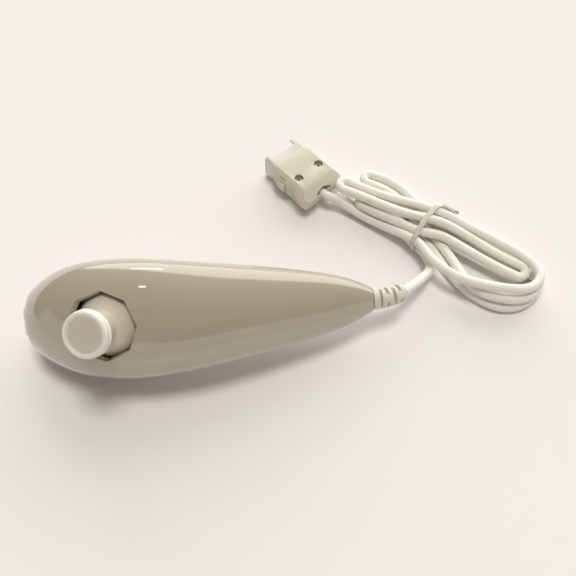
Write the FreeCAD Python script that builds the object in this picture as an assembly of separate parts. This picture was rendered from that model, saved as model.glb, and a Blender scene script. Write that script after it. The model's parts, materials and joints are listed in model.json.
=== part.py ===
# One-handed motion game controller with its cord, hank and plug, lying on a table.
# Millimetres. Each separate physical piece is one STEP file in parts/.
import FreeCAD, Part

import os
from math import acos, cos, degrees, hypot, pi, radians, sin, sqrt, tan

V = FreeCAD.Vector
Turn = FreeCAD.Rotation
Place = FreeCAD.Placement

# Body outline along its length, from the nose at 0 to the tail.
# Each list has one entry per station: place, half width, top, belly and seam height.
STATIONS = [0.0, 4.0, 12.0, 24.0, 40.0, 58.0, 76.0, 92.0, 104.0, 112.0]
HALF_WIDTH = [8.6, 12.2, 16.4, 18.9, 18.8, 16.6, 13.9, 10.9, 7.6, 3.8]
TOP_LINE = [1.6, 5.6, 10.3, 14.6, 17.1, 16.6, 12.9, 8.4, 4.5, 1.3]
BELLY_LINE = [-16.4, -17.6, -17.2, -14.4, -10.9, -9.3, -8.8, -8.0, -6.8, -5.4]
SEAM_LINE = [-6.2, -5.8, -2.4, 2.0, 5.3, 5.4, 3.0, 0.7, -0.8, -2.1]
ROUNDNESS = 0.60
WALL = 2.0
NOSE_WALL = 2.4
TAIL_SOLID = 8.0
SEAM_GAP = 0.12
SEAM_DROP = 0.4

# How the body lies on the table.
LIE_ROLL = 37.5
LIE_PITCH = 1.1

# Fits and clearances.
RUN_FIT = 0.06
PLAY = 0.3
TOUCH = 0.02

# Thumb stick and its gate, measured from the pivot along the stick.
STICK_X = 26.6
STICK_LEAN = 16.6
GATE_HEIGHT = 11.0
GATE_SINK = 0.6
GATE_RADIUS = 10.4
GATE_EDGE = 8.4
GATE_DRAFT = 0.45
GATE_SIDES = 8
TILT_LIMIT = 17.0
DOME_RADIUS = 12.15
DOME_WALL = 1.0
DOME_SKIRT = 51.0
NECK_RADIUS = 4.9
NECK_FLARE = 5.6
CAP_RADIUS = 7.3
CAP_TOP = 21.3
CAP_THICK = 3.3
CAP_FACE_RADIUS = 5.4
CAP_DISH = 0.6
SHAFT_RADIUS = 1.5
SHAFT_HEAD_RADIUS = 2.0
BOSS_BOTTOM = 7.6
BOSS_TOP = 15.0

# Gimbal housing under the stick.
FRAME_HALF = 7.0
FRAME_WALL = 1.0
FRAME_TOP = 3.2
FRAME_BASE = 7.0
BASE_THICK = 0.8
ROCKER_GAP = 0.8
ROCKER_HALF_V = 3.0
ROCKER_TOP = 1.8
ROCKER_SLOT = 2.6
AXLE_RADIUS = 1.0
CROSS_PIN_RADIUS = 0.6
BAIL_THICK = 0.9
BAIL_GAP = 0.1
BAIL_HALF_WIDTH = 3.0
BAIL_SLOT = 3.7
BAIL_PLAY = 0.2
POT_RADIUS = 4.2
POT_DEPTH = 2.6
POT_WALL = 0.7
WIPER_RADIUS = 3.0
WIPER_THICK = 0.8
SPRING_RADIUS = 4.0
SPRING_WIRE = 0.7
PLATE_RADIUS = 4.6
PLATE_THICK = 0.6
PLATE_DROP = 2.9

# Main board and what sits on it.
BOARD_THICK = 1.2
BOARD_FRONT = 10.3
BOARD_BEYOND = 5.9
BOARD_HALF_WIDTH = 12.6
POST_RADIUS = 1.5
POST_U_FRONT = -8.4
POST_U_REAR = 13.0
POST_V_FRONT = 11.0
POST_V_REAR = 9.4
BOARD_SCREW_RADIUS = 0.8
BOARD_SCREW_HEAD = 1.5
SOCKET_V = 1.8
SOCKET_HALF = 4.8
SOCKET_HEIGHT = 3.6
SOCKET_LENGTH = 3.6

# Housing screws through the belly.
SCREW_PLACES = [58.0, 86.0]
SCREW_RADIUS = 1.0
SCREW_HEAD_RADIUS = 2.2
SCREW_HEAD_HEIGHT = 1.3
SCREW_DEPTH = 6.0
SCREW_POST_RADIUS = 3.2
RECESS_FLOOR = 2.2

# Two buttons on the nose.
BUTTON_Z = -3.0
BUTTON_HALF_WIDTH = 5.0
BUTTON_HALF_HEIGHT = 2.5
BUTTON_PROUD = 0.9
BUTTON_TRAVEL = 0.8
BUTTON_FLANGE = 1.0
PUSHER_Z = -11.4
TRIGGER_TOP = -7.6
TRIGGER_BOTTOM = -14.6
TRIGGER_HALF_WIDTH = 6.6
TRIGGER_PROUD = 1.9
TRIGGER_PIN_X = 4.4
TRIGGER_PIN_Z = -7.3
TRIGGER_PIN_RADIUS = 0.9
TRIGGER_TRAVEL = 6.0
DOME_BUTTON_X = 6.4
TRIGGER_WIRE = 0.2
RUBBER_THICK = 0.7
DOME_STOP = 0.5
BUTTON_BOARD_THICK = 1.0
BRACKET_THICK = 1.4
BRACKET_HALF_WIDTH = 9.2
BRACKET_TOP = 1.6
RIBBON_HALF = 3.0
RIBBON_THICK = 0.3
RIBBON_Z = -4.6
BRACKET_BOTTOM = -14.0

# Strain relief at the tail.
CORD_DIAMETER = 3.4
COLLAR_RADIUS = 3.2
COLLAR_LENGTH = 1.6
COLLAR_PLACE = 5.4
NECK_TAIL_RADIUS = 2.5
SLEEVE_START = 3.6
SLEEVE_END = 3.1
SLEEVE_LENGTH = 11.0
SLEEVE_BEND = 30.0
SLEEVE_DROOP = 25.0
SLEEVE_SLOTS = 4
SLOT_WIDTH = 1.1
SLOT_WEB = 1.2
JACKET_INSIDE = 4.0
WIRE_RADIUS = 1.1
ANCHOR_HALF = 2.4

# Hank: four turns in two layers, drawn in at the tie.
HANK_X = 78.63
HANK_Y = 35.3
HANK_YAW = -38.5
TURNS = 4
WAIST_STEP = 4.22
WAIST_RUN = 6.0
RIGHT_REACH = 42.8
LEFT_REACH = 35.6
RIGHT_TURN = 8.1
RIGHT_INNER = 4.15
LEFT_TURN = 6.95
LEFT_INNER = 3.05
RIGHT_SHORTER = 6.65
LEFT_SHORTER = 4.95
LEFT_SHIFT = 2.0
FAN = 2.8
END_HEIGHT = 1.75
WAIST_HEIGHT = 3.1
LAYER_STEP = 4.05
CLIMB_AT = 19.62
CLIMB_SIDE = -1.15
CLIMB_HEIGHT = 4.23
CLIMB_SLOPE = 0.42

# Twist tie.
TIE_THICK = 0.6
TIE_WIDTH = 1.6
TIE_GAP = 0.3
TIE_TAIL = 8.0

# Plug.
PLUG_X = 25.53
PLUG_Y = 72.3
PLUG_YAW = -52.6
PLUG_HEIGHT = 11.4
PLUG_TOP_HALF = 8.0
PLUG_BASE_HALF = 9.7
PLUG_TOP_END = 21.9
PLUG_BASE_END = 25.2
PLUG_RIM = 1.6
PLUG_SIDE = [(6.2, 8.4), (7.4, 9.2), (10.0, 9.3), (13.2, 9.2), (15.7, 8.3), (18.0, 8.6),
             (20.4, 9.5), (22.6, 9.7), (24.4, 8.8), (25.4, 6.8)]
PLUG_ROOM_END = 20.2
PLUG_CORD_X = 22.0
PLUG_WALL = 1.2
NOSE_LENGTH = 6.2
NOSE_HALF_WIDTH = 7.75
NOSE_HEIGHT = 10.0
NOSE_INSERT = 1.8
SLEEVE_WALL = 1.1
CORE_HALF = 3.0
CONTACT_COUNT = 6
LATCH_START = 8.9
LATCH_END = 13.2
LATCH_HALF_HEIGHT = 2.0
PLUG_LATCH_HALF = 9.1
LATCH_TRAVEL = 0.7
LATCH_GRIP = 0.2
PLUG_SCREW_X = 16.2
PLUG_SCREW_Y = 5.0
PLUG_SCREW_RADIUS = 0.8
PLUG_SCREW_HEAD = 1.4
PLUG_SCREW_SINK = 2.0
PLUG_POCKET = 1.7

CORD_RADIUS = CORD_DIAMETER / 2
DOME_SPREAD = DOME_SKIRT + TILT_LIMIT
RUBBER_DOME = BUTTON_TRAVEL + DOME_STOP
TRIGGER_SWING = tan(radians(TRIGGER_TRAVEL))
TRIGGER_SWEEP = TRIGGER_PIN_X + (TRIGGER_PIN_Z - TRIGGER_BOTTOM) * TRIGGER_SWING
TRIGGER_DROP = TRIGGER_SWEEP * TRIGGER_SWING + RUN_FIT
BAIL_INNER = FRAME_HALF - FRAME_WALL - BAIL_GAP - BAIL_THICK
ROCKER_HALF_U = BAIL_INNER - ROCKER_GAP
SOCKET_U = FRAME_HALF + POT_DEPTH
BOARD_REAR = SOCKET_U + BOARD_BEYOND
LATCH_PROUD = LATCH_TRAVEL + LATCH_GRIP
BRACKET_X = DOME_BUTTON_X + RUBBER_DOME + RUBBER_THICK + BUTTON_BOARD_THICK
LENGTH = STATIONS[-1]
os.makedirs("parts", exist_ok=True)
NODES = {}


# Small helpers for shapes.
def box(x0, x1, y0, y1, z0, z1):
    return Part.makeBox(x1 - x0, y1 - y0, z1 - z0, V(x0, y0, z0))


def rod(start, end, radius):
    axis = end - start
    return Part.makeCylinder(radius, axis.Length, start, axis)


def prism(points, height, z=0.0):
    corners = [V(x, y, z) for x, y in points]
    return Part.Face(Part.makePolygon(corners + [corners[0]])).extrude(V(0, 0, height))


def oval(x0, x1, half_y, half_z, z, corner):
    # A rounded bar along X, centred on y = 0.
    bar = box(x0, x1, -half_y, half_y, z - half_z, z + half_z)
    long_edges = [e for e in bar.Edges if abs(e.tangentAt(e.FirstParameter).x) > 0.9]
    return bar.makeFillet(corner, long_edges)


def fuse(*shapes):
    return shapes[0].multiFuse(list(shapes[1:])).removeSplitter()


def cut(shape, *tools):
    for tool in tools:
        shape = shape.cut(tool)
    return shape


def moved(shape, placement):
    copy = shape.copy()
    copy.Placement = placement.multiply(copy.Placement)
    return copy


def export(name, shape):
    NODES[name] = shape


# Body: sections of four rounded quarters, lofted from nose to tail.
def slope_of(line, i):
    a, b = max(i - 1, 0), min(i + 1, len(line) - 1)
    return (line[b] - line[a]) / (STATIONS[b] - STATIONS[a])


def along(line, x):
    # Height of an outline at a place along the body, by cubic pieces between stations.
    i = max(k for k in range(len(STATIONS) - 1) if STATIONS[k] <= max(x, 0.0))
    span = STATIONS[i + 1] - STATIONS[i]
    t = (x - STATIONS[i]) / span
    m0, m1 = slope_of(line, i) * span, slope_of(line, i + 1) * span
    h0, h1 = 2 * t**3 - 3 * t**2 + 1, t**3 - 2 * t**2 + t
    h2, h3 = -2 * t**3 + 3 * t**2, t**3 - t**2
    return h0 * line[i] + h1 * m0 + h2 * line[i + 1] + h3 * m1


def quarter(x, y0, z0, y1, z1, centre_z):
    # One quarter of a section, bulging past an ellipse by the roundness.
    k = ROUNDNESS
    if abs(y0) > abs(y1):
        a, b = V(x, y0, z0 + k * (z1 - z0)), V(x, y1 + k * (y0 - y1), z1)
    else:
        a, b = V(x, y0 + k * (y1 - y0), z0), V(x, y1, z1 + k * (z0 - z1))
    curve = Part.BezierCurve()
    curve.setPoles([V(x, y0, z0), a, b, V(x, y1, z1)])
    return curve.toShape()


def section(x, half_width, top, belly, seam):
    w = half_width
    quarters = [(w, seam, 0, top), (0, top, -w, seam), (-w, seam, 0, belly), (0, belly, w, seam)]
    return Part.Wire([quarter(x, y0, z0, y1, z1, seam) for y0, z0, y1, z1 in quarters])


def body_loft():
    rows = zip(STATIONS, HALF_WIDTH, TOP_LINE, BELLY_LINE, SEAM_LINE)
    return Part.makeLoft([section(*row) for row in rows], True, False)


def inner_section(x):
    # The wall is measured square to the surface, so steep stretches take more of it.
    i = min(range(len(STATIONS)), key=lambda k: abs(STATIONS[k] - x))
    wall = [WALL * hypot(1, slope_of(line, i)) for line in (HALF_WIDTH, TOP_LINE, BELLY_LINE)]
    return section(x, along(HALF_WIDTH, x) - wall[0], along(TOP_LINE, x) - wall[1],
                   along(BELLY_LINE, x) + wall[2], along(SEAM_LINE, x))


def cavity_loft():
    places = [NOSE_WALL] + STATIONS[1:-2] + [LENGTH - TAIL_SOLID]
    return Part.makeLoft([inner_section(x) for x in places], True, False)


def below_seam(drop):
    # Everything under the parting surface, which runs just below the widest line.
    reach = 2 * max(HALF_WIDTH)
    first = V(-10, -reach, SEAM_LINE[0] - SEAM_DROP - drop)
    points = [V(x, -reach, z - SEAM_DROP - drop) for x, z in zip(STATIONS, SEAM_LINE)]
    last = V(LENGTH + 10, -reach, SEAM_LINE[-1] - SEAM_DROP - drop)
    line = Part.BSplineCurve()
    line.interpolate(points)
    deep = -4 * reach
    corners = [last, V(last.x, -reach, deep), V(first.x, -reach, deep), first]
    edges = [line.toShape(), Part.makeLine(points[-1], last)]
    edges += [Part.makeLine(a, b) for a, b in zip(corners, corners[1:])]
    edges.append(Part.makeLine(first, points[0]))
    return Part.Face(Part.Wire(edges)).extrude(V(0, 2 * reach, 0))


# The stick's own frame: origin at the pivot, Z out along the stick, X towards the tail.
def stick_frame():
    lean = radians(STICK_LEAN)
    out = V(-sin(lean), 0, cos(lean))
    surface = V(STICK_X, 0, along(TOP_LINE, STICK_X) - GATE_SINK)
    return Place(surface - out * GATE_HEIGHT, Turn(V(0, 1, 0), -STICK_LEAN))


STICK = stick_frame()


def octagon(radius):
    step = 2 * pi / GATE_SIDES
    return [(radius * cos(k * step), radius * sin(k * step)) for k in range(GATE_SIDES)]


def octagon_wire(radius, z):
    points = [V(x, y, z) for x, y in octagon(radius)]
    return Part.makePolygon(points + [points[0]])


def gate_cut():
    # The bevel widens outwards and the hole under it runs straight in.
    top = GATE_HEIGHT + 4.0
    wide = GATE_RADIUS + (top - GATE_EDGE) * GATE_DRAFT
    bevel = Part.makeLoft([octagon_wire(GATE_RADIUS, GATE_EDGE), octagon_wire(wide, top)], True, True)
    hole = prism(octagon(GATE_RADIUS), GATE_EDGE, 0.0)
    relief = Part.makeSphere(DOME_RADIUS + PLAY + 0.1)
    return moved(fuse(bevel, hole), STICK), moved(relief, STICK)


def post_places():
    return [(POST_U_FRONT, POST_V_FRONT), (POST_U_FRONT, -POST_V_FRONT),
            (POST_U_REAR, POST_V_REAR), (POST_U_REAR, -POST_V_REAR)]


def board_posts(skin):
    # Four posts hang from the upper shell's roof and carry the main board.
    posts = []
    for u, v in post_places():
        post = rod(V(u, v, -FRAME_BASE), V(u, v, 2 * GATE_HEIGHT), POST_RADIUS)
        bore = rod(V(u, v, -FRAME_BASE), V(u, v, 0), BOARD_SCREW_RADIUS + TOUCH)
        posts.append(moved(post.cut(bore), STICK).common(skin))
    return posts


def button_hole():
    return oval(-5, 2 * NOSE_WALL, BUTTON_HALF_WIDTH + PLAY, BUTTON_HALF_HEIGHT + PLAY, BUTTON_Z, 2.6)


def tail_bore():
    neck = rod(V(LENGTH - TAIL_SOLID - 1, 0, SEAM_LINE[-1]), V(LENGTH + 2, 0, SEAM_LINE[-1]),
               NECK_TAIL_RADIUS + TOUCH)
    collar = rod(V(LENGTH - COLLAR_PLACE - TOUCH, 0, SEAM_LINE[-1]),
                 V(LENGTH - COLLAR_PLACE + COLLAR_LENGTH + TOUCH, 0, SEAM_LINE[-1]), COLLAR_RADIUS + TOUCH)
    return [neck, collar]


def upper_shell(skin, hollow, lower_half):
    shell = cut(skin, hollow, lower_half)
    for x in SCREW_PLACES:
        boss = rod(V(x, 0, along(SEAM_LINE, x) + SEAM_GAP), V(x, 0, along(TOP_LINE, x)), SCREW_POST_RADIUS)
        shell = shell.fuse(boss.common(skin).cut(lower_half))
        bottom = along(SEAM_LINE, x)
        shell = shell.cut(rod(V(x, 0, bottom - 2), V(x, 0, bottom + SCREW_DEPTH + 0.5),
                              SCREW_RADIUS + TOUCH))
    for post in board_posts(skin):
        shell = shell.fuse(post)
    hole, relief = gate_cut()
    return cut(shell, relief, hole, button_hole(), *tail_bore())


def trigger_hole():
    return box(-5, 2 * NOSE_WALL + 2, -TRIGGER_HALF_WIDTH - PLAY, TRIGGER_HALF_WIDTH + PLAY,
               TRIGGER_BOTTOM - TRIGGER_DROP, TRIGGER_TOP + PLAY)


def recess_floor(x):
    return along(BELLY_LINE, x) + RECESS_FLOOR


def inner_pads():
    # Pads on the belly's inside under the cord anchor and the button bracket.
    x = LENGTH - TAIL_SOLID - 2.6
    pads = [box(x - 1.6, x + 1.6, -3.6, 3.6, -12.0, SEAM_LINE[-1] - ANCHOR_HALF)]
    for side in (-1, 1):
        y = side * 4.5
        pads.append(box(BRACKET_X - 0.4, BRACKET_X + BRACKET_THICK + 0.6, y - 1.0, y + 1.0, -20.0,
                        BRACKET_BOTTOM))
    return pads


def lower_shell(skin, hollow, lower_half):
    shell = skin.common(lower_half).cut(hollow)
    for x in SCREW_PLACES:
        belly, seam = along(BELLY_LINE, x), along(SEAM_LINE, x)
        post = rod(V(x, 0, belly), V(x, 0, seam), SCREW_POST_RADIUS + WALL / 2)
        shell = shell.fuse(post.common(skin).common(lower_half))
        shell = shell.cut(rod(V(x, 0, belly - 2), V(x, 0, seam + 2), SCREW_RADIUS + RUN_FIT))
        shell = shell.cut(rod(V(x, 0, belly - 2), V(x, 0, recess_floor(x)), SCREW_HEAD_RADIUS + PLAY))
    for pad in inner_pads():
        shell = shell.fuse(pad.common(skin).common(lower_half))
    return cut(shell, trigger_hole(), *tail_bore())


def housing_screws():
    screws = []
    for x in SCREW_PLACES:
        floor = recess_floor(x)
        head = rod(V(x, 0, floor - SCREW_HEAD_HEIGHT), V(x, 0, floor), SCREW_HEAD_RADIUS)
        shank = rod(V(x, 0, floor), V(x, 0, along(SEAM_LINE, x) + SCREW_DEPTH), SCREW_RADIUS)
        drive = rod(V(x, 0, floor - SCREW_HEAD_HEIGHT), V(x, 0, floor - SCREW_HEAD_HEIGHT / 2), 0.8)
        screws.append(fuse(head, shank).cut(drive))
    return Part.makeCompound(screws)


# Thumb stick: cap, neck and dome skirt are one moulding.
def edge_arc(radius, start, end):
    a, m, b = [V(radius * sin(radians(t)), 0, radius * cos(radians(t)))
               for t in (start, (start + end) / 2, end)]
    return Part.Arc(a, m, b).toShape()


def stick_cap():
    outer = DOME_RADIUS
    inner = outer - DOME_WALL
    flare = degrees(acos(sqrt(outer**2 - NECK_FLARE**2) / outer))
    boss = degrees(acos(sqrt(inner**2 - 3.6**2) / inner))
    under = CAP_TOP - CAP_THICK
    face_z = CAP_TOP - CAP_DISH
    rim = [V(CAP_RADIUS, 0, under), V(CAP_RADIUS + 0.1, 0, under + 0.5), V(CAP_RADIUS - 0.35, 0, under + 1.1),
           V(CAP_RADIUS - 0.1, 0, under + 1.5), V(CAP_RADIUS, 0, CAP_TOP - 0.8),
           V(CAP_RADIUS - 0.7, 0, CAP_TOP - 0.1), V(CAP_RADIUS - 1.2, 0, CAP_TOP),
           V(CAP_FACE_RADIUS, 0, face_z), V(0, 0, face_z - 0.15)]
    neck = [V(NECK_FLARE, 0, sqrt(outer**2 - NECK_FLARE**2)), V(NECK_RADIUS + 0.2, 0, GATE_HEIGHT + 1.2),
            V(NECK_RADIUS, 0, GATE_HEIGHT + 2.2), V(NECK_RADIUS, 0, under - 1.6),
            V(NECK_RADIUS + 0.5, 0, under - 0.9)]
    path = neck + rim
    edges = [edge_arc(outer, DOME_SPREAD, flare)]
    edges += [Part.makeLine(a, b) for a, b in zip(path, path[1:])]
    shaft = SHAFT_HEAD_RADIUS + TOUCH
    inside = [V(0, 0, face_z - 0.15), V(0, 0, BOSS_TOP), V(shaft, 0, BOSS_TOP), V(shaft, 0, BOSS_BOTTOM),
              V(3.6, 0, BOSS_BOTTOM), V(3.6, 0, sqrt(inner**2 - 3.6**2))]
    edges += [Part.makeLine(a, b) for a, b in zip(inside, inside[1:])]
    edges.append(edge_arc(inner, boss, DOME_SPREAD))
    low = radians(DOME_SPREAD)
    edges.append(Part.makeLine(V(inner * sin(low), 0, inner * cos(low)),
                               V(outer * sin(low), 0, outer * cos(low))))
    face = Part.Face(Part.Wire(Part.__sortEdges__(edges)))
    return moved(face.revolve(V(0, 0, 0), V(0, 0, 1), 360), STICK)


def stick_shaft():
    stem = rod(V(0, 0, -ROCKER_TOP + 0.2), V(0, 0, BOSS_BOTTOM + 0.4), SHAFT_RADIUS)
    head = rod(V(0, 0, BOSS_BOTTOM + 0.2), V(0, 0, BOSS_TOP - TOUCH), SHAFT_HEAD_RADIUS)
    reach = ROCKER_HALF_V - 0.2
    pin = rod(V(0, -reach, 0), V(0, reach, 0), CROSS_PIN_RADIUS)
    return moved(fuse(stem, head, pin), STICK)


def lower_rocker():
    # A block with a slot for the stem, on two axles along the body.
    block = box(-ROCKER_HALF_U, ROCKER_HALF_U, -ROCKER_HALF_V, ROCKER_HALF_V, -ROCKER_TOP, ROCKER_TOP)
    half_slot = SHAFT_RADIUS + BAIL_PLAY
    slot = box(-ROCKER_SLOT, ROCKER_SLOT, -half_slot, half_slot, -2 * ROCKER_TOP, 2 * ROCKER_TOP)
    hole = rod(V(0, -ROCKER_HALF_V - 1, 0), V(0, ROCKER_HALF_V + 1, 0), CROSS_PIN_RADIUS + RUN_FIT)
    far_end = FRAME_HALF + 0.4
    left = rod(V(-far_end, 0, 0), V(-ROCKER_HALF_U + 0.2, 0, 0), AXLE_RADIUS)
    right = rod(V(ROCKER_HALF_U - 0.2, 0, 0), V(FRAME_HALF + 1.2, 0, 0), AXLE_RADIUS)
    return moved(fuse(block, left, right).cut(slot).cut(hole), STICK)


def upper_rocker():
    # A half hoop over the lower rocker, slotted across for the stem.
    outer = BAIL_INNER + BAIL_THICK
    w = BAIL_HALF_WIDTH
    hoop = rod(V(-w, 0, 0), V(w, 0, 0), outer).cut(rod(V(-w - 1, 0, 0), V(w + 1, 0, 0), BAIL_INNER))
    hoop = hoop.common(box(-w, w, -outer, outer, -AXLE_RADIUS - 0.2, outer))
    gap = SHAFT_RADIUS + BAIL_PLAY
    slot = box(-gap, gap, -BAIL_SLOT, BAIL_SLOT, 0, 2 * outer)
    front = rod(V(0, -FRAME_HALF - 0.4, 0), V(0, -BAIL_INNER - 0.3, 0), AXLE_RADIUS)
    back = rod(V(0, BAIL_INNER + 0.3, 0), V(0, FRAME_HALF + 1.2, 0), AXLE_RADIUS)
    return moved(fuse(hoop.cut(slot), front, back), STICK)


def stick_module_frame():
    h = FRAME_HALF
    inner = h - FRAME_WALL
    walls = box(-h, h, -h, h, -FRAME_BASE, FRAME_TOP)
    room = box(-inner, inner, -inner, inner, -FRAME_BASE + BASE_THICK, FRAME_TOP + 1)
    bores = [rod(V(-h - 1, 0, 0), V(h + 1, 0, 0), AXLE_RADIUS + RUN_FIT),
             rod(V(0, -h - 1, 0), V(0, h + 1, 0), AXLE_RADIUS + RUN_FIT)]
    windows = [box(-3.2, 3.2, -h - 1, h + 1, -FRAME_BASE + 2.2, -2.2)]
    return moved(cut(walls, room, *bores, *windows), STICK)


def pot(turn):
    # A round can on the frame wall with three legs down to the board.
    can = rod(V(FRAME_HALF, 0, 0), V(FRAME_HALF + POT_DEPTH, 0, 0), POT_RADIUS)
    room = rod(V(FRAME_HALF - 1, 0, 0), V(FRAME_HALF + POT_DEPTH - POT_WALL, 0, 0), WIPER_RADIUS + PLAY)
    legs = [rod(V(FRAME_HALF + 1.3, y, -FRAME_BASE), V(FRAME_HALF + 1.3, y, -POT_RADIUS + 0.6), 0.35)
            for y in (-2.0, 0.0, 2.0)]
    return moved(fuse(can.cut(room), *legs), STICK.multiply(Place(V(), Turn(V(0, 0, 1), turn))))


def wiper(turn):
    start = FRAME_HALF + 0.3
    disc = rod(V(start, 0, 0), V(start + WIPER_THICK, 0, 0), WIPER_RADIUS)
    disc = disc.cut(rod(V(start - 1, 0, 0), V(start + 2, 0, 0), AXLE_RADIUS + TOUCH))
    finger = box(start + WIPER_THICK, start + WIPER_THICK + 0.3, 1.6, 2.8, -0.4, 0.4)
    return moved(fuse(disc, finger), STICK.multiply(Place(V(), Turn(V(0, 0, 1), turn))))


def spring_plate():
    bottom = -PLATE_DROP - PLATE_THICK
    plate = rod(V(0, 0, bottom), V(0, 0, -PLATE_DROP), PLATE_RADIUS)
    guide = rod(V(0, 0, bottom - 1.0), V(0, 0, bottom), SPRING_RADIUS - SPRING_WIRE - 0.2)
    return moved(fuse(plate, guide), STICK)


def centring_spring():
    # The coil stands between the frame's base and the plate, drawn as a sleeve.
    bottom, top = -FRAME_BASE + BASE_THICK, -PLATE_DROP - PLATE_THICK
    sleeve = rod(V(0, 0, bottom), V(0, 0, top), SPRING_RADIUS)
    return moved(sleeve.cut(rod(V(0, 0, bottom - 1), V(0, 0, top + 1), SPRING_RADIUS - SPRING_WIRE)), STICK)


# Main board and its parts, in the stick's frame.
def main_board():
    top = -FRAME_BASE
    w, front, rear = BOARD_HALF_WIDTH, BOARD_FRONT, BOARD_REAR
    outline = [(-front, -w), (rear - 4, -w), (rear, -w + 3), (rear, w - 3), (rear - 4, w), (-front, w)]
    board = prism(outline, BOARD_THICK, top - BOARD_THICK)
    for u, v in post_places():
        board = board.cut(rod(V(u, v, top - 3), V(u, v, top + 1), BOARD_SCREW_RADIUS + RUN_FIT))
    return moved(board, STICK)


def board_screws():
    top = -FRAME_BASE - BOARD_THICK
    screws = []
    for u, v in post_places():
        head = rod(V(u, v, top - 0.9), V(u, v, top), BOARD_SCREW_HEAD)
        shank = rod(V(u, v, top), V(u, v, top + BOARD_THICK + 4.0), BOARD_SCREW_RADIUS)
        screws.append(fuse(head, shank))
    return moved(Part.makeCompound(screws), STICK)


def chip(u, v, length, width, height):
    # A chip under the board with its foot along both sides.
    top = -FRAME_BASE - BOARD_THICK
    body = box(u, u + length, v, v + width, top - height, top - 0.2)
    feet = box(u + 0.3, u + length - 0.3, v - 0.8, v + width + 0.8, top - 0.35, top)
    return moved(fuse(body, feet), STICK)


def can_capacitor(u, v, radius, height):
    top = -FRAME_BASE - BOARD_THICK
    return moved(rod(V(u, v, top - height), V(u, v, top), radius), STICK)


def board_chips():
    return Part.makeCompound([chip(-4.5, -4.0, 7.0, 6.0, 1.4), chip(-8.0, 4.6, 4.0, 3.6, 1.2),
                              chip(5.0, 5.0, 3.0, 1.6, 1.1)])


def board_passives():
    return Part.makeCompound([can_capacitor(5.0, -7.4, 1.6, 2.2), can_capacitor(8.8, -7.4, 1.6, 2.2),
                              chip(-9.4, -7.4, 4.2, 2.0, 1.8)])


def board_socket():
    top = -FRAME_BASE
    low, high = SOCKET_V - SOCKET_HALF, SOCKET_V + SOCKET_HALF
    shell = box(SOCKET_U, SOCKET_U + SOCKET_LENGTH, low, high, top, top + SOCKET_HEIGHT)
    room = box(SOCKET_U + 1.0, SOCKET_U + SOCKET_LENGTH + 1, low + 0.8, high - 0.8,
               top + 0.8, top + SOCKET_HEIGHT - 0.8)
    return moved(shell.cut(room), STICK)


def harness_plug():
    low = -FRAME_BASE + 0.8 + TOUCH
    high = -FRAME_BASE + SOCKET_HEIGHT - 0.8 - TOUCH
    half = SOCKET_HALF - 0.8 - TOUCH
    body = box(SOCKET_U + 1.0 + TOUCH, SOCKET_U + SOCKET_LENGTH + 1.6, SOCKET_V - half, SOCKET_V + half,
               low, high)
    return moved(body, STICK)


def rounded_tube(points, radius):
    # Straight runs joined by arcs that touch both runs.
    path = rounded_path(points)
    return sweep_round(path, radius)


def rounded_path(points):
    edges, radii, start = [], [], points[0]
    for a, b, c in zip(points, points[1:], points[2:]):
        before, after = (a - b), (c - b)
        reach = 0.45 * min(before.Length, after.Length)
        before.normalize()
        after.normalize()
        turn = pi - before.getAngle(after)
        first, last = b + before * reach, b + after * reach
        radius = reach / tan(turn / 2)
        bisector = before + after
        bisector.normalize()
        middle = b + bisector * (radius / cos(turn / 2) - radius)
        edges.append(Part.LineSegment(start, first).toShape())
        edges.append(Part.Arc(first, middle, last).toShape())
        radii.append(radius)
        start = last
    edges.append(Part.LineSegment(start, points[-1]).toShape())
    return Part.Wire(edges), radii


def sweep_round(path_and_radii, radius):
    path, radii = path_and_radii
    start = path.Edges[0].Vertexes[0].Point
    direction = path.Edges[0].tangentAt(path.Edges[0].FirstParameter)
    ring = Part.Wire(Part.Circle(start, direction, radius).toShape())
    return path.makePipeShell([ring], True, False)


def harness_wires():
    # The cord's cores run past both housing screws to the plug on the board.
    jacket = LENGTH - TAIL_SOLID - JACKET_INSIDE
    side = SCREW_POST_RADIUS + WALL / 2 + WIRE_RADIUS + 0.6
    near, far = SCREW_PLACES[1], SCREW_PLACES[0]
    level = -FRAME_BASE + SOCKET_HEIGHT / 2
    socket_end = SOCKET_U + SOCKET_LENGTH + 1.6
    end = STICK.multVec(V(socket_end, SOCKET_V, level))
    lead_in = STICK.multVec(V(socket_end + 2.6, SOCKET_V, level))
    points = [V(jacket, 0, SEAM_LINE[-1]), V(jacket - 3.2, 0, SEAM_LINE[-1]), V(near + 4.0, side - 0.9, -1.3),
              V(near - 3.0, side + 0.2, -0.6), V((near + far) / 2, side + 0.7, 0.9),
              V(far + 4.0, side + 0.2, 2.6), V(far - 3.0, side - 0.6, 3.9), lead_in, end]
    return rounded_tube(points, WIRE_RADIUS)


# Buttons on the nose, in the body's frame.
def upper_button():
    back = DOME_BUTTON_X - 2.6
    outer = oval(-BUTTON_PROUD, back, BUTTON_HALF_WIDTH, BUTTON_HALF_HEIGHT, BUTTON_Z, 2.3)
    rims = [e for e in outer.Edges if all(abs(v.Point.x + BUTTON_PROUD) < 1e-6 for v in e.Vertexes)]
    outer = outer.makeFillet(0.8, rims)
    flange = oval(back - 0.2, back - 0.2 + BUTTON_FLANGE, BUTTON_HALF_WIDTH + 1.0,
                  BUTTON_HALF_HEIGHT + 0.7, BUTTON_Z, 2.6)
    stem = rod(V(2.0, 0, BUTTON_Z), V(DOME_BUTTON_X - 0.1, 0, BUTTON_Z), 1.6)
    return fuse(outer, flange, stem)


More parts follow.
